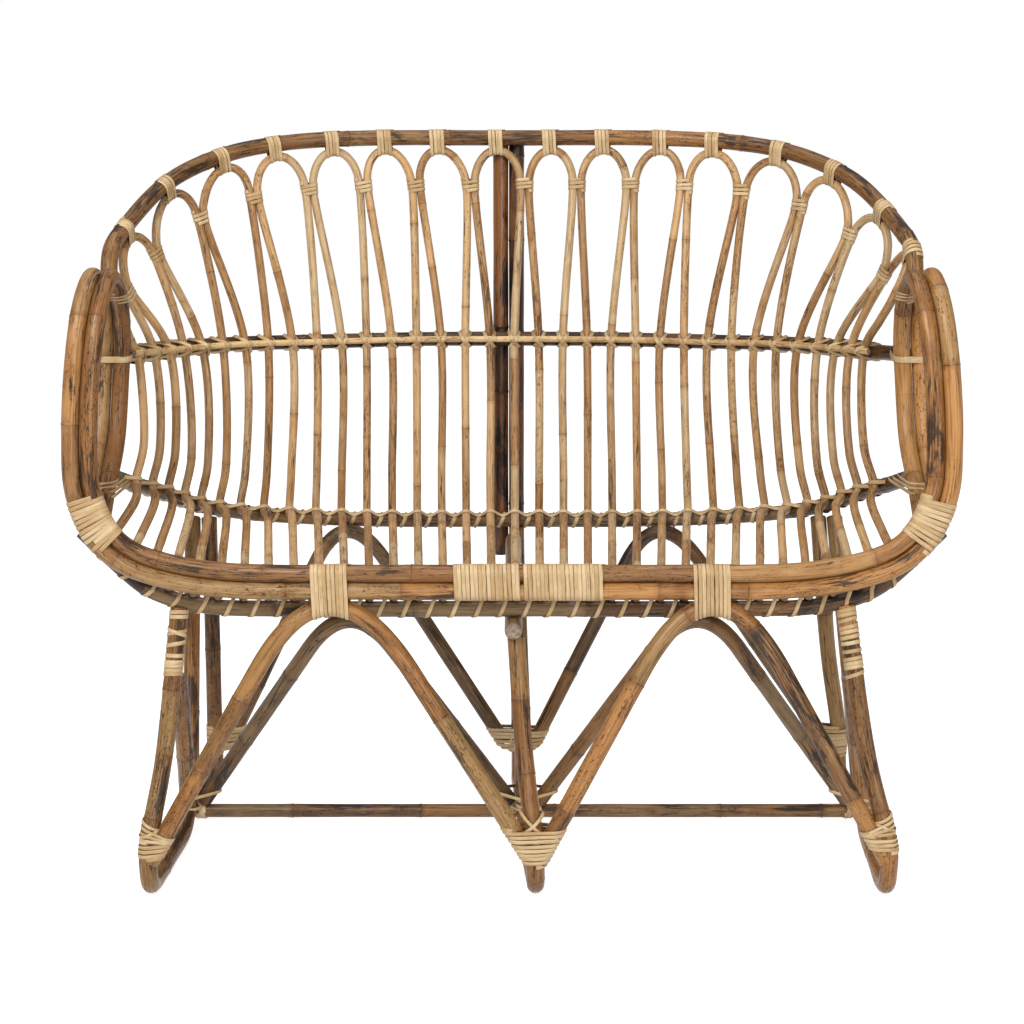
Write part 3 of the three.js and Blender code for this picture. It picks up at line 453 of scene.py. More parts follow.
def arch_path(apex, left_end, right_end, straight_share=0.74):
    ends = between(left_end, right_end, 0.5)
    corner = (apex * 2 + ends * (straight_share - 1)) / (1 + straight_share)
    left = between(left_end, corner, straight_share)
    right = between(right_end, corner, straight_share)
    arc = []
    for step in range(41):
        share = step / 40
        arc.append(left * (1 - share) ** 2 + corner * 2 * share * (1 - share) + right * share**2)
    return resampled([left_end, *arc, right_end])


# Every cane, with its path and diameter
canes = {}


def add_cane(name, points, diameter):
    canes[name] = (np.asarray(points), diameter / 2)


for side, turned in (("left", lambda points: points), ("right", mirrored)):
    add_cane(f"inner_arm_cane_{side}", turned(inner_hoop), CANE)
    add_cane(f"outer_arm_cane_{side}", turned(outer_hoop), CANE)
add_cane("top_back_rail", top_rail.points, CANE)
add_cane("mid_back_rail", mid_rail.points, POLE)
add_cane("lower_back_rail", lower_rail.points, POLE)
add_cane("seat_front_pole", seat_pole.points, POLE)
HAIRPINS = {}
for index in range(LOOP_COUNT):
    loop = index - (LOOP_COUNT - 1) / 2
    HAIRPINS[loop] = f"hairpin_spindle_{index + 1:02d}"
    add_cane(HAIRPINS[loop], hairpin_path(loop), SPINDLE)

LATH_OFFSET = POLE / 2 + SPINDLE + LATH / 2 + 4 * CLEAR
lath = []
for number in np.linspace(-LOOP_COUNT - 0.2, LOOP_COUNT + 0.2, 120):
    place, rail = mid_rail.spindle(number)
    inward = square_to(rail, heading(place, top_rail.at(mid_rail.spread(number))), FRONTWARDS)
    lath.append(place + inward * LATH_OFFSET)
add_cane("mid_back_lath", resampled(lath), LATH)

BACK_CENTRE_X = -5.0
POST_GAP = 0.6


def behind(y, diameter):
    return y + diameter / 2 + CANE / 2 - 3 * CLEAR


for side, sign in (("left", -1), ("right", 1)):
    x = BACK_CENTRE_X + sign * (CANE + POST_GAP) / 2
    add_cane(f"back_post_{side}", smooth([
        vec(x, behind(BACK_TOP_Y, CANE) + 4 * CLEAR, BACK_TOP_Z + 0.2 * CANE),
        vec(x, behind(BACK_MID_Y, POLE), BACK_MID_Z),
        vec(x, behind(SEAT_BACK_Y, POLE), SEAT_BACK_Z),
        vec(x, behind(SEAT_BACK_Y, POLE) - 0.1 * CANE, SEAT_BACK_Z - 2.5 * CANE),
    ]), CANE)

legs = {}
TOP_REACH = {"left": 4.5, "centre": 0.0, "right": 4.5}  # how far the cut tops run on up into the pole
for side in FRAME_SHARES:
    front, rear = frame_canes(side)
    front = np.concatenate([[front[0] + heading(front[1], front[0]) * TOP_REACH[side]], front])
    legs[side] = {"front": Path(front), "rear": Path(rear)}
    add_cane(f"{side}_front_leg_cane", front, CANE)
    add_cane(f"{side}_rear_leg_cane", rear, CANE)

bays_of = {("left", 1): "left", ("centre", -1): "left", ("centre", 1): "right", ("right", -1): "right"}
MID_X = {side: shares[2] * HALF for side, shares in FRAME_SHARES.items()}
stretcher_ends = [
    vec(MID_X["left"] - 0.2 * CANE, MID_NODE_Y, STRETCHER_Z),
    vec(MID_X["right"] + 0.2 * CANE, MID_NODE_Y, STRETCHER_Z),
]
add_cane("stretcher", resampled(stretcher_ends), STRETCHER)
BEARER_X = 2.0
BEARER_DROP = POLE / 2 + CANE / 2 + 2 * CLEAR
bearer_ends = [
    vec(BEARER_X, FRONT_Y - 0.1 * CANE, POLE_Z - BEARER_DROP),
    vec(BEARER_X, SEAT_BACK_Y - 1.35 * CANE, SEAT_BACK_Z - BEARER_DROP),
]
add_cane("seat_bearer", resampled(bearer_ends), CANE)

for bay, (start, end, shares) in BAYS.items():
    front_x, second_x, rear_x = (share * HALF for share in shares)
    sides = ((start, EAST), (end, -EAST))
    ends = [legs[side]["front"].at_height(FRONT_ARCH_END_Z) + way * ARCH_END_GAP for side, way in sides]
    apex = vec(front_x, FRONT_Y, FRONT_ARCH_APEX_Z)
    add_cane(f"front_arch_{bay}", arch_path(apex, *ends, 0.6), CANE)
    ends = [vec(MID_X[side], MID_NODE_Y, SECOND_ARCH_END_Z) + way * SECOND_END_GAP for side, way in sides]
    apex = vec(second_x, SECOND_ARCH_Y, SECOND_ARCH_APEX_Z)
    add_cane(f"second_arch_{bay}", arch_path(apex, *ends), POLE)
    ends = [legs[side]["rear"].at_height(REAR_ARCH_END_Z) + way * REAR_END_GAP for side, way in sides]
    rail = lower_rail.at_x(rear_x)
    apex = vec(rear_x, rail[1] - 0.66 * POLE, rail[2] - 0.73 * POLE)
    add_cane(f"rear_arch_{bay}", arch_path(apex, *ends), POLE)


# Materials

def linear(hex_color):
    channels = [int(hex_color[i:i + 2], 16) / 255 for i in (0, 2, 4)]
    return [c / 12.92 if c <= 0.04045 else ((c + 0.055) / 1.055) ** 2.4 for c in channels] + [1.0]


class Nodes:
    """A short way to build the node tree of a material or of the world."""

    def __init__(self, owner):
        owner.use_nodes = True
        self.owner = owner
        self.tree = owner.node_tree
        self.tree.nodes.clear()

    def node(self, kind, inputs=None, **settings):
        node = self.tree.nodes.new(kind)
        for key, value in settings.items():
            setattr(node, key, value)
        for key, value in (inputs or {}).items():
            if isinstance(value, bpy.types.NodeSocket):
                self.tree.links.new(value, node.inputs[key])
            else:
                node.inputs[key].default_value = value
        return node

    def attribute(self, name, output="Fac"):
        return self.node("ShaderNodeAttribute", attribute_name=name).outputs[output]

    def math(self, operation, first, second=0.0, third=0.0, clamp=False):
        node = self.node("ShaderNodeMath", {0: first, 1: second, 2: third}, operation=operation)
        node.use_clamp = clamp
        return node.outputs[0]

    def times(self, first, second, added=0.0, clamp=False):
        return self.math("MULTIPLY_ADD", first, second, added, clamp)

    def less(self, first, second):
        return self.math("SUBTRACT", first, second)

    def noise(self, vector, scale, detail, roughness, distortion=0.0, length=1.0):
        """Noise that is drawn out along the cane where its length share is small."""
        if length < 1:
            inputs = {"Vector": vector, "Scale": (1.0, 1.0, length)}
            vector = self.node("ShaderNodeMapping", inputs).outputs[0]
        inputs = {"Vector": vector, "Scale": scale, "Detail": detail, "Roughness": roughness}
        inputs["Distortion"] = distortion
        return self.node("ShaderNodeTexNoise", inputs).outputs["Fac"]

    def ramp(self, factor, low, high):
        inputs = {"Value": factor, "From Min": low, "From Max": high}
        return self.node("ShaderNodeMapRange", inputs, interpolation_type="SMOOTHSTEP").outputs[0]

    def mix(self, factor, first, second, share=1.0):
        if share < 1:
            factor = self.times(factor, share)
        node = self.node("ShaderNodeMix", {0: factor, 6: first, 7: second}, data_type="RGBA")
        return node.outputs[2]

    def end(self, kind, surface):
        self.tree.links.new(surface.outputs[0], self.node(kind).inputs[0])
        return self.owner

    def finish(self, color, roughness, height, strength, distance, coat=0.0):
        bump = self.node("ShaderNodeBump", {"Height": height, "Strength": strength, "Distance": distance})
        inputs = {"Base Color": color, "Roughness": roughness, "Normal": bump.outputs[0]}
        inputs["Coat Weight"] = coat
        inputs["Coat Roughness"] = 0.25
        inputs["Specular IOR Level"] = 0.32
        return self.end("ShaderNodeOutputMaterial", self.node("ShaderNodeBsdfPrincipled", inputs))


def material_nodes(name, colors):
    nodes = Nodes(bpy.data.materials.new(name))
    return nodes, nodes.attribute("grain", "Vector"), [linear(color) for color in colors.split()]


def rattan(name, colors, streaky, scorch_from, rough):
    """Skin of a cane. Its grain attribute is the place in the straightened cane, in metres."""
    nodes, grain, (warm, dull, deep, scorch, worn) = material_nodes(name, colors)
    times, less, mix, ramp = nodes.times, nodes.less, nodes.mix, nodes.ramp
    tone = nodes.attribute("tone")
    near = nodes.math("ABSOLUTE", nodes.attribute("knot"))
    streaks = nodes.noise(grain, 520.0, 3.0, 0.62, length=0.03)
    bands = nodes.noise(grain, 190.0, 3.0, 0.6, 0.3, 0.05)
    fibres = nodes.noise(grain, 1600.0, 2.0, 0.5, length=0.012)
    clouds = nodes.noise(grain, 75.0, 4.0, 0.65, 0.5, 0.4)
    patches = nodes.noise(grain, 42.0, 5.0, 0.68, 0.6, 0.2)
    dots = nodes.noise(grain, 400.0, 2.0, 0.5, length=0.55)
    # Each length between two nodes has its own hue and depth
    drift = times(nodes.attribute("hue"), 0.85, times(bands, 0.45))
    base = mix(ramp(drift, 0.34, 0.84), warm, dull)
    shade = times(tone, 0.6, times(clouds, 0.9))
    base = mix(ramp(shade, 0.5, 1.0), base, deep, 0.85)
    # Pale worn skin between the marks
    base = mix(less(1.0, ramp(streaks, 0.3, 0.46)), base, worn, 0.3)
    # Bark left on in ragged lengthwise marks, often with a darker rim on both sides
    line = times(ramp(streaks, 0.5, 0.64), streaky)
    base = mix(line, base, deep)
    open_bark = ramp(times(tone, 0.14, patches), 0.5, 0.64)
    rim = nodes.math("ABSOLUTE", less(bands, 0.545))
    rim = times(less(1.0, ramp(rim, 0.004, 0.022)), times(open_bark, 1.1), clamp=True)
    base = mix(rim, base, scorch)
    crack = times(ramp(bands, 0.6, 0.65), ramp(streaks, 0.5, 0.58))
    base = mix(times(crack, times(open_bark, 1.5 * streaky), clamp=True), base, scorch)
    dotted = ramp(times(nodes.attribute("freckle"), 0.28, clouds), 0.57, 0.75)
    speck = times(ramp(dots, 0.56, 0.64), dotted)
    base = mix(speck, base, scorch, 0.75)
    burnt = times(tone, 0.1, times(streaks, 0.3, patches))
    base = mix(ramp(burnt, scorch_from, scorch_from + 0.07), base, scorch, 0.88)
    # Node rings, broken up by the grain
    base = mix(times(less(1.0, ramp(near, 0.8, 9.0)), times(clouds, 0.9)), base, deep)
    ragged = times(bands, -4.0, nodes.math("ADD", near, 1.9))
    ring = times(less(1.0, ramp(ragged, 0.0, 0.9)), times(clouds, 1.6, -0.3), clamp=True)
    base = mix(ring, base, scorch)
    gloss = times(patches, 0.35, times(line, 0.3, rough - 0.2))
    height = times(streaks, 0.8, times(fibres, 0.35))
    height = less(less(height, times(speck, 0.35)), times(rim, 0.5))
    return nodes.finish(base, gloss, times(clouds, 0.4, height), 0.55, 0.0006, coat=0.08)


def cut_end(name, colors):
    """Pith of a cut cane: close pores."""
    nodes, grain, (pale, dark) = material_nodes(name, colors)
    pores = nodes.node("ShaderNodeTexVoronoi", {"Vector": grain, "Scale": 1400.0}).outputs["Distance"]
    cloud = nodes.noise(grain, 160.0, 4.0, 0.6)
    color = nodes.mix(nodes.ramp(cloud, 0.35, 0.7), pale, dark)
    holes = nodes.math("SUBTRACT", 0.8, nodes.ramp(pores, 0.1, 0.35), clamp=True)
    return nodes.finish(nodes.mix(holes, color, dark), 0.8, pores, 0.5, 0.0004)


def binding(name, colors):
    """Flat strip. Its grain attribute runs across, out and along the strip."""
    nodes, grain, (pale, mid, deep) = material_nodes(name, colors)
    times, mix, ramp = nodes.times, nodes.mix, nodes.ramp
    fibres = nodes.noise(grain, 1700.0, 2.0, 0.6, length=0.02)
    bands = nodes.noise(grain, 620.0, 2.0, 0.5, length=0.06)
    cloud = nodes.noise(grain, 60.0, 4.0, 0.65)
    spots = nodes.noise(grain, 520.0, 2.0, 0.5, length=0.35)
    shade = times(nodes.attribute("tone"), 0.6, times(cloud, 0.8))
    base = mix(ramp(shade, 0.4, 1.05), pale, mid)
    base = mix(ramp(fibres, 0.42, 0.72), base, mid, 0.4)
    base = mix(ramp(bands, 0.56, 0.72), base, deep, 0.5)
    base = mix(times(ramp(spots, 0.66, 0.74), ramp(cloud, 0.48, 0.6)), base, deep, 0.6)
    # Painted shade: the strip's rounded sides and underside, where it tucks against its neighbours and the
    # cane, are darkened
    base = mix(ramp(nodes.attribute("edge_shade"), 0.55, 1.0), base, deep, 0.8)
    height = times(fibres, 0.7, times(bands, 0.6))
    return nodes.finish(base, times(cloud, 0.3, 0.3), height, 0.5, 0.0004, coat=0.15)


# Warm, dull, deep, scorched and worn colours, then how streaky, how rarely scorched and how rough
SKIN_LOOKS = {
    "cane": ("aa7640 967648 714822 24150a c29a66", 0.7, 0.76, 0.42),
    "arm": ("b68148 a48254 7d5128 28170c cfa878", 0.68, 0.785, 0.42),
    "pole": ("8a6237 7a6242 4c3016 1a1109 96774e", 0.65, 0.74, 0.42),
    "post": ("85532a 66462a 38220f 140c07 7d5833", 0.6, 0.72, 0.32),
    "spindle": ("cba270 c4a87e 986b3c 4e3119 dabd95", 0.5, 0.82, 0.46),
    "lath": ("dcbb85 d2b688 ab824c 6b4526 e6cda2", 0.4, 0.95, 0.42),
}
SKINS = {kind: rattan(f"rattan_{kind}", *looks) for kind, looks in SKIN_LOOKS.items()}
PITH = cut_end("rattan_pith", "9d8b7a 6b5748")
STRIP = binding("flat_binding_cane", "d3b88e b39264 74522e")


# Meshes

def frames_along(tangents):
    """Two directions square to the path at every point, without a twist."""
    first = np.cross(tangents[0], UP if abs(tangents[0][2]) < 0.9 else EAST)
    sides = [unit(first)]
    for tangent in tangents[1:]:
        side = sides[-1] - tangent * sides[-1].dot(tangent)
        sides.append(unit(side))
    sides = np.array(sides)
    return sides, np.cross(tangents, sides)


def loft_faces(rows, sides, start=0, closed=False):
    """Quads between rows of points, and two caps unless the last row meets the first."""
    faces = []
    for row in range(rows if closed else rows - 1):
        here, there = start + row * sides, start + (row + 1) % rows * sides
        for column in range(sides):
            beside = (column + 1) % sides
            faces.append((here + column, here + beside, there + beside, there + column))
    if not closed:
        last = start + (rows - 1) * sides
        faces += [tuple(range(start, start + sides))[::-1], tuple(range(last, last + sides))]
    return faces


def placed(name, data):
    thing = bpy.data.objects.new(name, data)
    bpy.context.scene.collection.objects.link(thing)
    return thing


def make_object(name, vertices, faces, materials, attributes, face_materials=None):
    mesh = bpy.data.meshes.new(name)
    places = np.asarray(vertices) + np.array([0, SHIFT_Y, 0])
    mesh.from_pydata((places * MM).tolist(), [], faces)
    for material in materials:
        mesh.materials.append(material)
    if face_materials is not None:
        mesh.polygons.foreach_set("material_index", face_materials)
    mesh.polygons.foreach_set("use_smooth", [True] * len(faces))
    for key, values in attributes.items():
        values = np.asarray(values, dtype=np.float32)
        kind = "FLOAT_VECTOR" if values.ndim == 2 else "FLOAT"
        layer = mesh.attributes.new(key, kind, "POINT")
        layer.data.foreach_set("vector" if values.ndim == 2 else "value", values.ravel())
    mesh.update()
    piece = placed(name, mesh)
    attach(piece, "root")
    return piece


# The swelling at a node ring and the groove beside it: share of the radius, place and length
KNOT_SWELL = ((0.032, 0.0, 1.5), (0.03, 0.0, 8.0), (-0.035, 2.4, 0.9))
WAVES = (0.008, 41.0), (0.007, 17.0)  # unevenness: share of the radius and length
KNOT_OFFSETS = (-9.0, -5.0, -2.6, -1.4, -0.7, 0.0, 0.7, 1.4, 2.6, 5.0, 9.0)


def cane_piece(name, points, radius, skin, spacing, sides, seed, look, flat_at_floor, tall):
    """A cane with node rings, slightly uneven, with cut ends."""
    dice = np.random.default_rng(seed)
    path = Path(points)
    knots = []
    place = dice.uniform(0.15, 0.9) * spacing
    while place < path.length - 12:
        knots.append(place)
        place += spacing * dice.uniform(0.5, 1.6)
    knots = np.array(knots) if knots else np.array([path.length / 2])
    step = max(radius * 0.42, 4.0)
    stations = set(np.arange(0, path.length, step).round(2).tolist())
    stations |= {0.0, 0.5, 1.3, path.length - 1.3, path.length - 0.5, path.length}
    near_knots = [knot + offset for knot in knots for offset in KNOT_OFFSETS]
    stations = [s for s in stations if np.min(np.abs(knots - s)) > KNOT_OFFSETS[-1] + 0.5]
    stations = np.array(sorted(s for s in stations + near_knots if 0 <= s <= path.length))
    stations = stations[np.concatenate([[True], np.diff(stations) > 0.25])]
    places = path.from_start(stations)
    tangents = path.from_start(stations + FINE_STEP) - path.from_start(stations - FINE_STEP)
    side, out = frames_along(units(tangents))
    index = np.argmin(np.abs(stations[:, None] - knots[None, :]), axis=1)
    signed = stations - knots[index]
    swell = sum(share * np.exp(-(((signed - at) / long) ** 2)) for share, at, long in KNOT_SWELL)
    phases = dice.uniform(0, 2 * math.pi, 4)
    wobble = sum(share * np.sin(stations / long + phase) for (share, long), phase in zip(WAVES, phases))
    radii = radius * (1.0 + swell + wobble)
    from_end = np.minimum(stations, path.length - stations)
    radii -= np.clip(0.9 - from_end, 0, 0.9) * 0.8
    angles = np.linspace(0, 2 * math.pi, sides, endpoint=False)
    oval = 1 + 0.012 * np.cos(2 * angles + phases[2])
    ring = np.cos(angles)[None, :, None] * side[:, None, :]
    ring = ring + tall * np.sin(angles)[None, :, None] * out[:, None, :]
    vertices = places[:, None, :] + ring * (radii[:, None] * oval[None, :])[:, :, None]
    if flat_at_floor:
        vertices[:, :, 2] = np.maximum(vertices[:, :, 2], 0.0)
    count = len(stations)
    shift = dice.uniform(-20, 20, 3)
    grain = np.zeros((count, sides, 3)) + shift
    grain[:, :, 0] += np.cos(angles)[None, :] * radius * MM
    grain[:, :, 1] += np.sin(angles)[None, :] * radius * MM
    grain[:, :, 2] += stations[:, None] * MM
    part = np.searchsorted(knots, stations)
    attributes = {"grain": grain.reshape(-1, 3), "knot": np.repeat(np.clip(signed, -40, 40), sides)}
    for key, middle, spread in zip(("tone", "hue", "freckle"), look, (0.4, 0.55, 0.4)):
        values = np.clip(middle + dice.uniform(-spread, spread, len(knots) + 1), 0, 1)
        attributes[key] = np.repeat(values[part], sides)
    faces = loft_faces(count, sides)
    face_materials = [0] * (len(faces) - 2) + [1, 1]
    piece = make_object(name, vertices.reshape(-1, 3), faces, [skin, PITH], attributes, face_materials)
    for cap in piece.data.polygons[-2:]:
        cap.use_smooth = False
    return piece


# The slot, skin, knot spacing and number of sides of a cane, by the start of its name
KINDS = {
    "hairpin": ("spindle", "spindle", 190.0, 12), "mid_back_lath": ("strip", "lath", 210.0, 10),
    "back_post": ("pole", "post", 170.0, 18), "inner_arm": ("cane", "arm", 165.0, 20),
    "outer_arm": ("cane", "arm", 165.0, 20),
    **{start: ("pole", "pole", 170.0, 18) for start in (
        "mid_back_rail", "lower_back_rail", "seat_front_pole", "stretcher", "seat_bearer",
        "second_arch", "rear_arch",
    )},
}
# How dark, how dull and how freckled a cane is, by the start of its name
LOOKS = {
    "inner_arm_cane_left": (0.95, 0.25, 0.4), "inner_arm": (0.5, 0.35, 0.3),
    "outer_arm_cane_right": (0.25, 0.4, 0.3), "outer_arm": (0.45, 0.35, 0.3),
    "top_back": (0.8, 0.5, 0.3), "front_arch": (0.45, 0.3, 0.5), "left_front": (0.75, 0.3, 1.0),
    "left_rear": (0.6, 0.4, 0.5), "centre_front": (0.7, 0.2, 0.6), "centre_rear": (0.6, 0.6, 0.3),
    "right_front": (0.4, 0.1, 0.5), "right_rear": (0.5, 0.6, 0.2), "second_arch": (0.45, 0.4, 0.3),
    "seat_bearer": (0.2, 0.7, 0.3), "lower_back": (0.6, 0.3, 0.3), "mid_back_rail": (0.9, 0.2, 0.2),
}


def by_start(table, name, otherwise):
    return next((value for start, value in table.items() if name.startswith(start)), otherwise)


LATH_TALL = 1.33  # the thin cane in front of the middle rail is flattened

for number, (name, (points, radius)) in enumerate(canes.items()):
    slot, skin, spacing, sides = by_start(KINDS, name, ("cane", "cane", 165.0, 20))
    look = by_start(LOOKS, name, (0.5, 0.5, 0.3))
    tall = LATH_TALL if name == "mid_back_lath" else 1.0
    piece = cane_piece(f"{name}_skin", points, radius, SKINS[skin], spacing, sides, 100 + number, look,
                       name.endswith("leg_cane"), tall)
    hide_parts(name)


# Bindings

CORE_REACH = 70.0  # a cane that passes further away isn't bound in
END_TAPER = 1.1  # how fast the binding closes in beyond a cane's end


def crossing(name, origin, normal):
    """Where a cane passes a plane next to its origin: place, direction and radius."""
    points, radius = canes[name]
    depth = (points - origin) @ normal
    change = np.nonzero(depth[:-1] * depth[1:] <= 0)[0]
    if len(change):
        share = depth[change] / (depth[change] - depth[change + 1])
        places = points[change] + (points[change + 1] - points[change]) * share[:, None]
        distances = np.linalg.norm(places - origin, axis=1)
        best = int(np.argmin(distances))
        if distances[best] < CORE_REACH:
            index = change[best]
            return places[best], heading(points[index], points[index + 1]), radius
    ends = points[[0, -1]]
    end = int(np.argmin(np.linalg.norm(ends - origin, axis=1)))
    beyond = abs(depth[-end])
    if np.linalg.norm(ends[end] - origin) > CORE_REACH or beyond * END_TAPER > radius:
        return None
    ahead = heading(points[0], points[1]) if end == 0 else heading(points[-2], points[-1])
    return ends[end] - normal * depth[-end], ahead, radius - beyond * END_TAPER


ROUND = np.linspace(0, 2 * math.pi, 73)[:-1]


def outline(cores, normal, reference, offset):
    """The closed line of a strip round some canes, in the plane square to normal."""
    first = unit(reference - normal * reference.dot(normal))
    second = np.cross(normal, first)
    ways = np.cos(ROUND)[:, None] * first + np.sin(ROUND)[:, None] * second
    best = np.full(len(ROUND), -1e9)
    points = np.zeros((len(ROUND), 3))
    for centre, direction, radius in cores:
        lean = direction - normal * direction.dot(normal)
        size = np.linalg.norm(lean)
        if size < 1e-5:
            lean, long_radius = first, radius
        else:
            lean, long_radius = lean / size, radius / max(abs(direction.dot(normal)), 0.45)
        cross = np.cross(normal, lean)
        along, beside = ways @ lean, ways @ cross
        reach = np.sqrt((long_radius * along) ** 2 + (radius * beside) ** 2)
        support = ways @ centre + reach
        place = long_radius**2 * along[:, None] * lean + radius**2 * beside[:, None] * cross
        place = centre + place / reach[:, None] + ways * offset
        chosen = support > best
        best = np.where(chosen, support, best)
        points[chosen] = place[chosen]
    return points, ways


def place_on(loop, ways, share):
    closed = np.concatenate([loop, loop[:1]])
    lengths = lengths_of(closed)
    spot = (share % 1.0) * lengths[-1]
    index = min(int(np.searchsorted(lengths, spot, side="right")) - 1, len(loop) - 1)
    part = (spot - lengths[index]) / max(lengths[index + 1] - lengths[index], 1e-9)
    point = between(closed[index], closed[index + 1], part)
    way = between(ways[index], ways[(index + 1) % len(ways)], part)
    return point, unit(way)


TURN_STEPS = 40  # points of a strip in one turn
TONE_STEP = 80  # a strip's shade changes over this length


class Strips:
    """Several strips in one mesh."""

    def __init__(self, seed):
        self.vertices, self.faces = [], []
        self.grain, self.tone, self.edge_shade = [], [], []
        self.dice = np.random.default_rng(seed)

    # Each row: across, out, and how much painted shade the strip gets there (its sides and underside)
    PROFILE = ((-0.5, 0.05, 1.0), (-0.47, 0.7, 0.75), (-0.3, 0.97, 0.1), (0.0, 1.0, 0.0),
               (0.3, 0.97, 0.1), (0.47, 0.7, 0.75), (0.5, 0.05, 1.0), (0.0, 0.0, 1.0))

    def add(self, points, ways, width, closed=False):
        points, ways = np.asarray(points), np.asarray(ways)
        turned = np.roll(points, -1, axis=0) - np.roll(points, 1, axis=0)
        tangents = units(turned if closed else np.gradient(points, axis=0))
        across = units(np.cross(tangents, ways))
        outward = np.cross(across, tangents)
        lengths = lengths_of(points)
        start = len(self.vertices)
        shift = self.dice.uniform(-20, 20, 3)
        tones = self.dice.uniform(0, 1, int(lengths[-1] // TONE_STEP) + 3)
        width = width * self.dice.uniform(0.94, 1.04)
        for row in range(len(points)):
            tone = np.interp(lengths[row] / TONE_STEP, range(len(tones)), tones)
            for sideways, lifted, edge_shade in self.PROFILE:
                place = points[row] + across[row] * sideways * width + outward[row] * lifted * STRIP_THICKNESS
                self.vertices.append(place)
                grain = vec(sideways * width, lifted * STRIP_THICKNESS, lengths[row]) * MM + shift
                self.grain.append(grain)
                self.edge_shade.append(edge_shade)
                self.tone.append(tone)
        for face in loft_faces(len(points), len(self.PROFILE), start, closed):
            self.faces.append(face[:1] + face[:0:-1] if len(face) == 4 else face[::-1])

    def cores_at(self, names, origin, normal, extra=()):
        cores = [crossing(name, origin, normal) for name in names]
        added = [(origin + place, direction, radius) for place, direction, radius in extra]
        return [core for core in cores if core is not None] + added

    def wrap(self, names, guide, turns, reference=FRONTWARDS, phase=0.0, offset=0.15, jitter=0.3,
             width=STRIP_WIDTH, extra=()):
        """A strip going round some canes. A guide gives the plane for a share of the way."""
        steps = int(turns * TURN_STEPS)
        noise = self.dice.uniform(0, 2 * math.pi, 3)
        points, ways = [], []
        for step in range(steps + 1):
            origin, normal = guide(step / steps)
            wander = jitter * (math.sin(step / 31 + noise[0]) + 0.6 * math.sin(step / 13 + noise[1]))
            cores = self.cores_at(names, origin + normal * wander, normal, extra)
            loop, outs = outline(cores, normal, reference, offset)
            point, way = place_on(loop, outs, phase + step / TURN_STEPS)
            points.append(point)
            ways.append(way)
        self.add(points, ways, width)

    def ring(self, names, origin, normal, reference, offset=0.15, width=STRIP_WIDTH):
        """One closed turn, for a lashing whose ends are tucked away."""
        loop, outs = outline(self.cores_at(names, origin, normal), normal, reference, offset)
        points, ways = zip(*(place_on(loop, outs, step / TURN_STEPS) for step in range(TURN_STEPS)))
        self.add(points, ways, width, closed=True)

    def cross(self, names, origin, axis, reference, slant, width=STRIP_WIDTH, offset=0.3):
        """Two closed turns that cross in front of the canes."""
        side = unit(np.cross(axis, reference))
        for order, sign in enumerate((1, -1)):
            normal = unit(axis + side * sign * slant)
            self.ring(names, origin, normal, reference, offset + order * 0.9, width)

    def piece(self, name, replaced=()):
        attributes = {"grain": self.grain, "tone": self.tone, "edge_shade": self.edge_shade}
        piece = make_object(name, self.vertices, self.faces, [STRIP], attributes)
        if replaced:
            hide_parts(*replaced)


def along_rail(path, start, end):
    """A guide between two distances from the middle of a path."""
    def guide(share):
        distance = between(start, end, share)
        return path.at(distance), path.direction(distance)
    return guide


def along_cane(path, start, end):
    """A guide between two distances from the start of a path."""
    def guide(share):
        distance = between(start, end, share)
        return path.from_start(distance), path.towards(distance)
    return guide


def straight(origin, axis, length):
    def guide(share):
        return origin + axis * (share - 0.5) * length, axis
    return guide


def winding(name, seed, cores, guide, turns, replaced=(), **how):
    strips = Strips(seed)
    strips.wrap(cores, guide, turns, **how)
    strips.piece(name, replaced)


# Top rail: a wrap over each loop, a tie between neighbouring loops
TOP_TURNS = 4
TIE_WIDTH = 5.1
for index, (loop, hairpin) in enumerate(HAIRPINS.items()):
    strips = Strips(1000 + index)
    distance = top_distance(loop)
    half = TOP_TURNS * STRIP_PITCH / 2
    lean = strips.dice.uniform(-2, 2)
    guide = along_rail(top_rail, distance - half + lean, distance + half + lean)
    strips.wrap(["top_back_rail", hairpin], guide, TOP_TURNS, UP, width=TIE_WIDTH)
    strips.piece(f"top_rail_wrap_{index + 1:02d}")
loops = list(HAIRPINS)
TIE_PITCH = 5.7
for index, loop in enumerate(loops[:-1]):
    place, down, _ = tie_middle(loop + 0.5)
    pair = [HAIRPINS[loop], HAIRPINS[loop + 1]]
    guide = straight(place, down, 3 * TIE_PITCH)
    winding(f"loop_tie_{index + 1:02d}", 1100 + index, pair, guide, 3, width=TIE_WIDTH)

# Mid rail: crossed strips over every spindle and the thin cane in front
LASHING = 5.8  # width of the strips that lash the spindles to the rails
strips = Strips(1200)
for loop, hairpin in HAIRPINS.items():
    for number in (2 * loop - 0.5, 2 * loop + 0.5):
        place, rail = mid_rail.spindle(number)
        inward = square_to(rail, UP, FRONTWARDS)
        middle = place + inward * POLE_TO_SPINDLE
        names = ["mid_back_rail", hairpin, "mid_back_lath"]
        strips.cross(names, middle, rail, inward, 0.75 + strips.dice.uniform(-0.08, 0.08), LASHING, 0.2)
strips.piece("mid_rail_lashing")

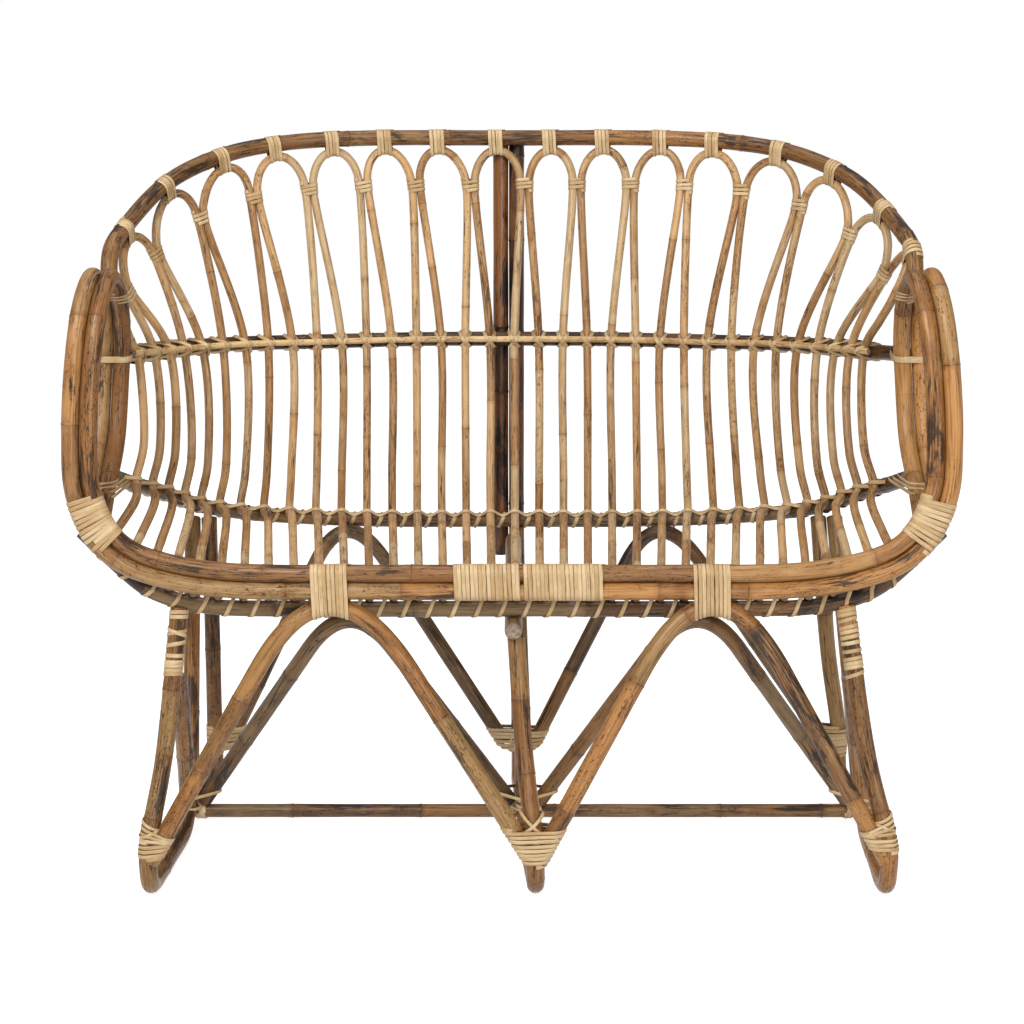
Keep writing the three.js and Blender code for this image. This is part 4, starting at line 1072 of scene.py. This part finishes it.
# Lower rail: one strip waves over the spindles, another turns round the rail between them
strips = Strips(1300)
SPINDLE_NUMBERS = [number - LOOP_COUNT + 0.5 for number in range(2 * LOOP_COUNT)]
wave, wave_ways = [], []
for number in np.arange(SPINDLE_NUMBERS[0] - 0.5, SPINDLE_NUMBERS[-1] + 0.51, 0.05):
    place, inward, _, _ = seat_corner(number)
    crest = math.cos(math.pi * (number - 0.5)) ** 2
    lift = POLE / 2 + 1 + (SPINDLE + 0.5) * crest
    wave.append(place + inward * lift)
    wave_ways.append(inward)
strips.add(wave, wave_ways, LASHING)
for number in SPINDLE_NUMBERS[:-1]:
    place, rail = lower_rail.spindle(number + 0.5 + strips.dice.uniform(-0.05, 0.05))
    inward = square_to(rail, UP, FRONTWARDS)
    normal = unit(rail - np.cross(inward, rail) * 0.5)
    strips.ring(["lower_back_rail"], place, normal, inward, 0.1, LASHING)
strips.piece("lower_rail_lashing")

# Rail ends: each is bound to the arm behind it
strips = Strips(1340)
for side, sign in (("left", 1), ("right", -1)):
    arm = [f"inner_arm_cane_{side}", f"outer_arm_cane_{side}"]
    origin = mid_rail.at(-sign * (mid_rail.length / 2 - 14))
    strips.ring(arm + ["mid_back_rail"], origin, UP, FRONTWARDS, width=9.0)
    origin = lower_rail.at(-sign * (lower_rail.length / 2 - 10))
    strips.wrap(arm + ["lower_back_rail"], straight(origin, UP, 3 * STRIP_PITCH), 3.3)
    origin = top_rail.at(-sign * (top_rail.length / 2 - 12))
    strips.wrap([arm[0], "top_back_rail"], straight(origin, UP, 13), 3, width=3.4)
strips.piece("rail_end_bindings")

# Front rail windings
CENTRE_WINDING_X = 14.0
CENTRE_TURNS = {"left": 16, "right": 19}
ARCH_TURNS = 9
CORNER_TURNS = 11
CORNER_START = 0.96 * HALF  # from the middle of the front rail, along the arm cane
CORNER_LENGTH = 64
LIFTED = 0.3  # how far a winding stands off its canes
four_canes = [f"{part}_arm_cane_{end}" for part in ("inner", "outer") for end in ("left", "right")]
for index, (side, axis) in enumerate((("left", -EAST), ("right", EAST))):
    two_canes = [f"inner_arm_cane_{side}", f"outer_arm_cane_{side}"]
    turns = CENTRE_TURNS[side]
    reach = turns * STRIP_PITCH
    start = vec(CENTRE_WINDING_X, FRONT_Y, FRONT_RAIL_Z) + axis * STRIP_PITCH / 2
    guide = straight(start + axis * reach / 2, axis, reach)
    name = f"centre_winding_{side}"
    winding(f"{name}_strips", 1400 + index, four_canes, guide, turns, [name],
            reference=UP, offset=LIFTED, width=5.2, jitter=0.2)
    apex = BAYS[side][2][0] * HALF
    guide = straight(vec(apex, FRONT_Y, FRONT_RAIL_Z), EAST, ARCH_TURNS * STRIP_PITCH)
    name = f"arch_winding_{side}"
    winding(f"{name}_strips", 1420 + index, two_canes + [f"front_arch_{side}"], guide, ARCH_TURNS, [name],
            reference=UP, offset=LIFTED, width=TIE_WIDTH)
    path = Path(hoop if side == "left" else mirrored(hoop))
    start = CORNER_START - path.length / 2
    name = f"corner_winding_{side}"
    winding(f"{name}_strips", 1440 + index, two_canes, along_rail(path, start, start + CORNER_LENGTH),
            CORNER_TURNS, [name], offset=LIFTED, width=5.6)

# Foot windings: level turns round the leg and the ends of its arches, at a height and with a number of turns
FOOT_TURNS = {
    "left": {"front": (60.0, 4), "rear": (42.0, 8)},
    "centre": {"front": (49.0, 9), "rear": (42.0, 7)},
    "right": {"front": (68.0, 4), "rear": (42.0, 8)},
}
OUTWARD = {"left": 1, "centre": 0, "right": -1}
FAN = ((2, 0.12), (7, 0.3), (12, 0.42), (19, 0.5))  # rise and tilt of the slanted turns above them
for index, (side, rows) in enumerate(FOOT_TURNS.items()):
    bays = [bay for (end, _), bay in bays_of.items() if end == side]
    for row, (low, turns) in rows.items():
        strips = Strips(1460 + 2 * index + (row == "rear"))
        leg = f"{side}_{row}_leg_cane"
        path = legs[side][row]
        names = [leg] + [f"{row}_arch_{bay}" for bay in bays]
        height = turns * STRIP_PITCH
        guide = straight(path.at_height(low + height / 2), UP, height)
        strips.wrap(names, guide, turns, offset=LIFTED, width=TIE_WIDTH, jitter=0.5)
        top = low + height
        if row == "front" and side == "centre":
            strips.cross([leg], path.at_height(top + 3), UP, FRONTWARDS, 0.85, 4.6, 3.0)
        elif row == "front":
            for step, (rise, tilt) in enumerate(FAN):
                normal = unit(UP + EAST * tilt * OUTWARD[side])
                cores = names if step < 3 else [leg]
                strips.ring(cores, path.at_height(top + rise), normal, FRONTWARDS, 0.5 + 0.3 * step, 4.7)
            normal = unit(UP - EAST * 0.3 * OUTWARD[side])
            strips.ring([leg], path.at_height(top + 10), normal, FRONTWARDS, 1.2, 4.6)
        strips.piece(f"{side}_{row}_foot_strips", [f"{side}_{row}_foot_winding"])

# Spirals round the cut tops of the two outer front legs: start, end and turns
SPIRALS = {
    "left": ((2, 15, 2), (24, 40, 1), (40, 24, 1), (38, 56, 1), (60, 64, 1), (68, 88, 4)),
    "right": ((2, 14, 2), (14, 32, 2), (30, 44, 2), (46, 50, 1), (57, 61, 1), (66, 82, 3), (82, 96, 1)),
}
for index, (side, rows) in enumerate(SPIRALS.items()):
    strips = Strips(1500 + index)
    for start, end, turns in rows:
        guide = along_cane(legs[side]["front"], start, end)
        strips.wrap([f"{side}_front_leg_cane"], guide, turns, phase=0.5, offset=0.2, width=5.4)
    strips.piece(f"{side}_leg_top_spiral")

# Lashings where the bends of a frame hold the stretcher
for index, side in enumerate(FRAME_SHARES):
    strips = Strips(1520 + index)
    node = vec(MID_X[side], MID_NODE_Y, STRETCHER_Z)
    leg, other = f"{side}_front_leg_cane", f"{side}_rear_leg_cane"
    for (end, sign), bay in bays_of.items():
        if end != side:
            continue
        spot = node + EAST * sign * 17
        arch = f"second_arch_{bay}"
        strips.wrap(["stretcher"], straight(spot, EAST, 9), 2, offset=0.4, width=5.2)
        for rise, slant, offset in ((13.2, 0.25, 0.6), (26, -0.2, 0.9)):
            normal = unit(UP + EAST * sign * slant)
            strips.ring([leg, other, arch], node + UP * rise, normal, FRONTWARDS, offset, 4.8)
        normal = unit(EAST + UP * sign * 0.35)
        strips.ring([other, arch, "stretcher"], spot + UP * 8, normal, FRONTWARDS, 0.8, 4.6)
    strips.piece(f"{side}_node_lashing")

# The strip along the pole under the seat front, going over the spindle ends
raised = (UP * POLE_TO_SPINDLE * 0.7, EAST, SPINDLE / 2)


def pole_guide(share):
    return seat_pole.spindle(between(LOOP_COUNT - 0.5, -LOOP_COUNT + 0.5, share))


winding("front_pole_lashing", 1540, ["seat_front_pole"], pole_guide, 2 * LOOP_COUNT - 1,
        reference=vec(0, 1, 0), offset=LIFTED, width=5.4, extra=(raised,))


# Floor, lights and camera

WHITE = (1.0, 1.0, 1.0, 1.0)
FLOOR_TONE = (0.7, 0.7, 0.7, 1.0)
FLOOR_GLOW = 0.77  # seen only, so that the floor is white but keeps its shadow
nodes = Nodes(bpy.data.materials.new("pale_floor"))
rays = nodes.node("ShaderNodeLightPath").outputs
shown = nodes.math("MAXIMUM", rays["Is Camera Ray"], rays["Is Glossy Ray"])
diffuse = nodes.node("ShaderNodeBsdfDiffuse", {"Color": FLOOR_TONE}).outputs[0]
glow = nodes.node("ShaderNodeEmission", {"Color": WHITE, "Strength": FLOOR_GLOW}).outputs[0]
both = nodes.node("ShaderNodeAddShader", {0: diffuse, 1: glow}).outputs[0]
surface = nodes.node("ShaderNodeMixShader", {0: shown, 1: diffuse, 2: both})
pale_floor = nodes.end("ShaderNodeOutputMaterial", surface)

FLOOR_HALF = 30.0
floor_mesh = bpy.data.meshes.new("floor")
corners = [(x * FLOOR_HALF, y * FLOOR_HALF, 0) for x, y in ((-1, -1), (1, -1), (1, 1), (-1, 1))]
floor_mesh.from_pydata(corners, [], [(0, 1, 2, 3)])
floor_mesh.materials.append(pale_floor)
placed("floor", floor_mesh)

WORLD_LIGHT = 0.32
world = bpy.data.worlds.new("studio")
bpy.context.scene.world = world
nodes = Nodes(world)
rays = nodes.node("ShaderNodeLightPath").outputs
shown = nodes.math("MAXIMUM", rays["Is Camera Ray"], rays["Is Transmission Ray"])
strength = nodes.node("ShaderNodeMapRange", {"Value": shown, "To Min": WORLD_LIGHT, "To Max": 1.0}).outputs[0]
nodes.end("ShaderNodeOutputWorld", nodes.node("ShaderNodeBackground", {"Color": WHITE, "Strength": strength}))


def area_light(name, place, target, size, power):
    light = bpy.data.lights.new(name, "AREA")
    light.shape = "SQUARE"
    light.size = size
    light.energy = power
    lamp = placed(name, light)
    lamp.location = place
    way = np.array(target) - np.array(place)
    yaw = math.atan2(way[1], way[0]) - math.pi / 2
    pitch = math.atan2(way[2], math.hypot(way[0], way[1]))
    lamp.rotation_euler = (math.pi / 2 + pitch, 0, yaw)


area_light("key", (-1.3, -2.9, 2.9), (0, 0, 0.45), 1.3, 104)
area_light("fill", (1.5, -3.2, 1.5), (0, 0, 0.45), 1.4, 44)
area_light("top", (0.0, 0.2, 3.4), (0, 0, 0.4), 1.8, 30)

# The photo's camera, in metres, millimetres of lens and degrees
CAMERA_Y = -2.955
CAMERA_Z = 1.140
CAMERA_DOWN = 13.6
SENSOR = 36.0
LENS = 75.73
scene = bpy.context.scene
scene.view_settings.view_transform = "Standard"
camera_data = bpy.data.cameras.new("camera")
camera_data.sensor_width = SENSOR
camera_data.lens = LENS
camera = placed("camera", camera_data)
camera.location = (0.0, CAMERA_Y + SHIFT_Y * MM, CAMERA_Z)
camera.rotation_euler = (math.radians(90 - CAMERA_DOWN), 0.0, 0.0)
scene.camera = camera
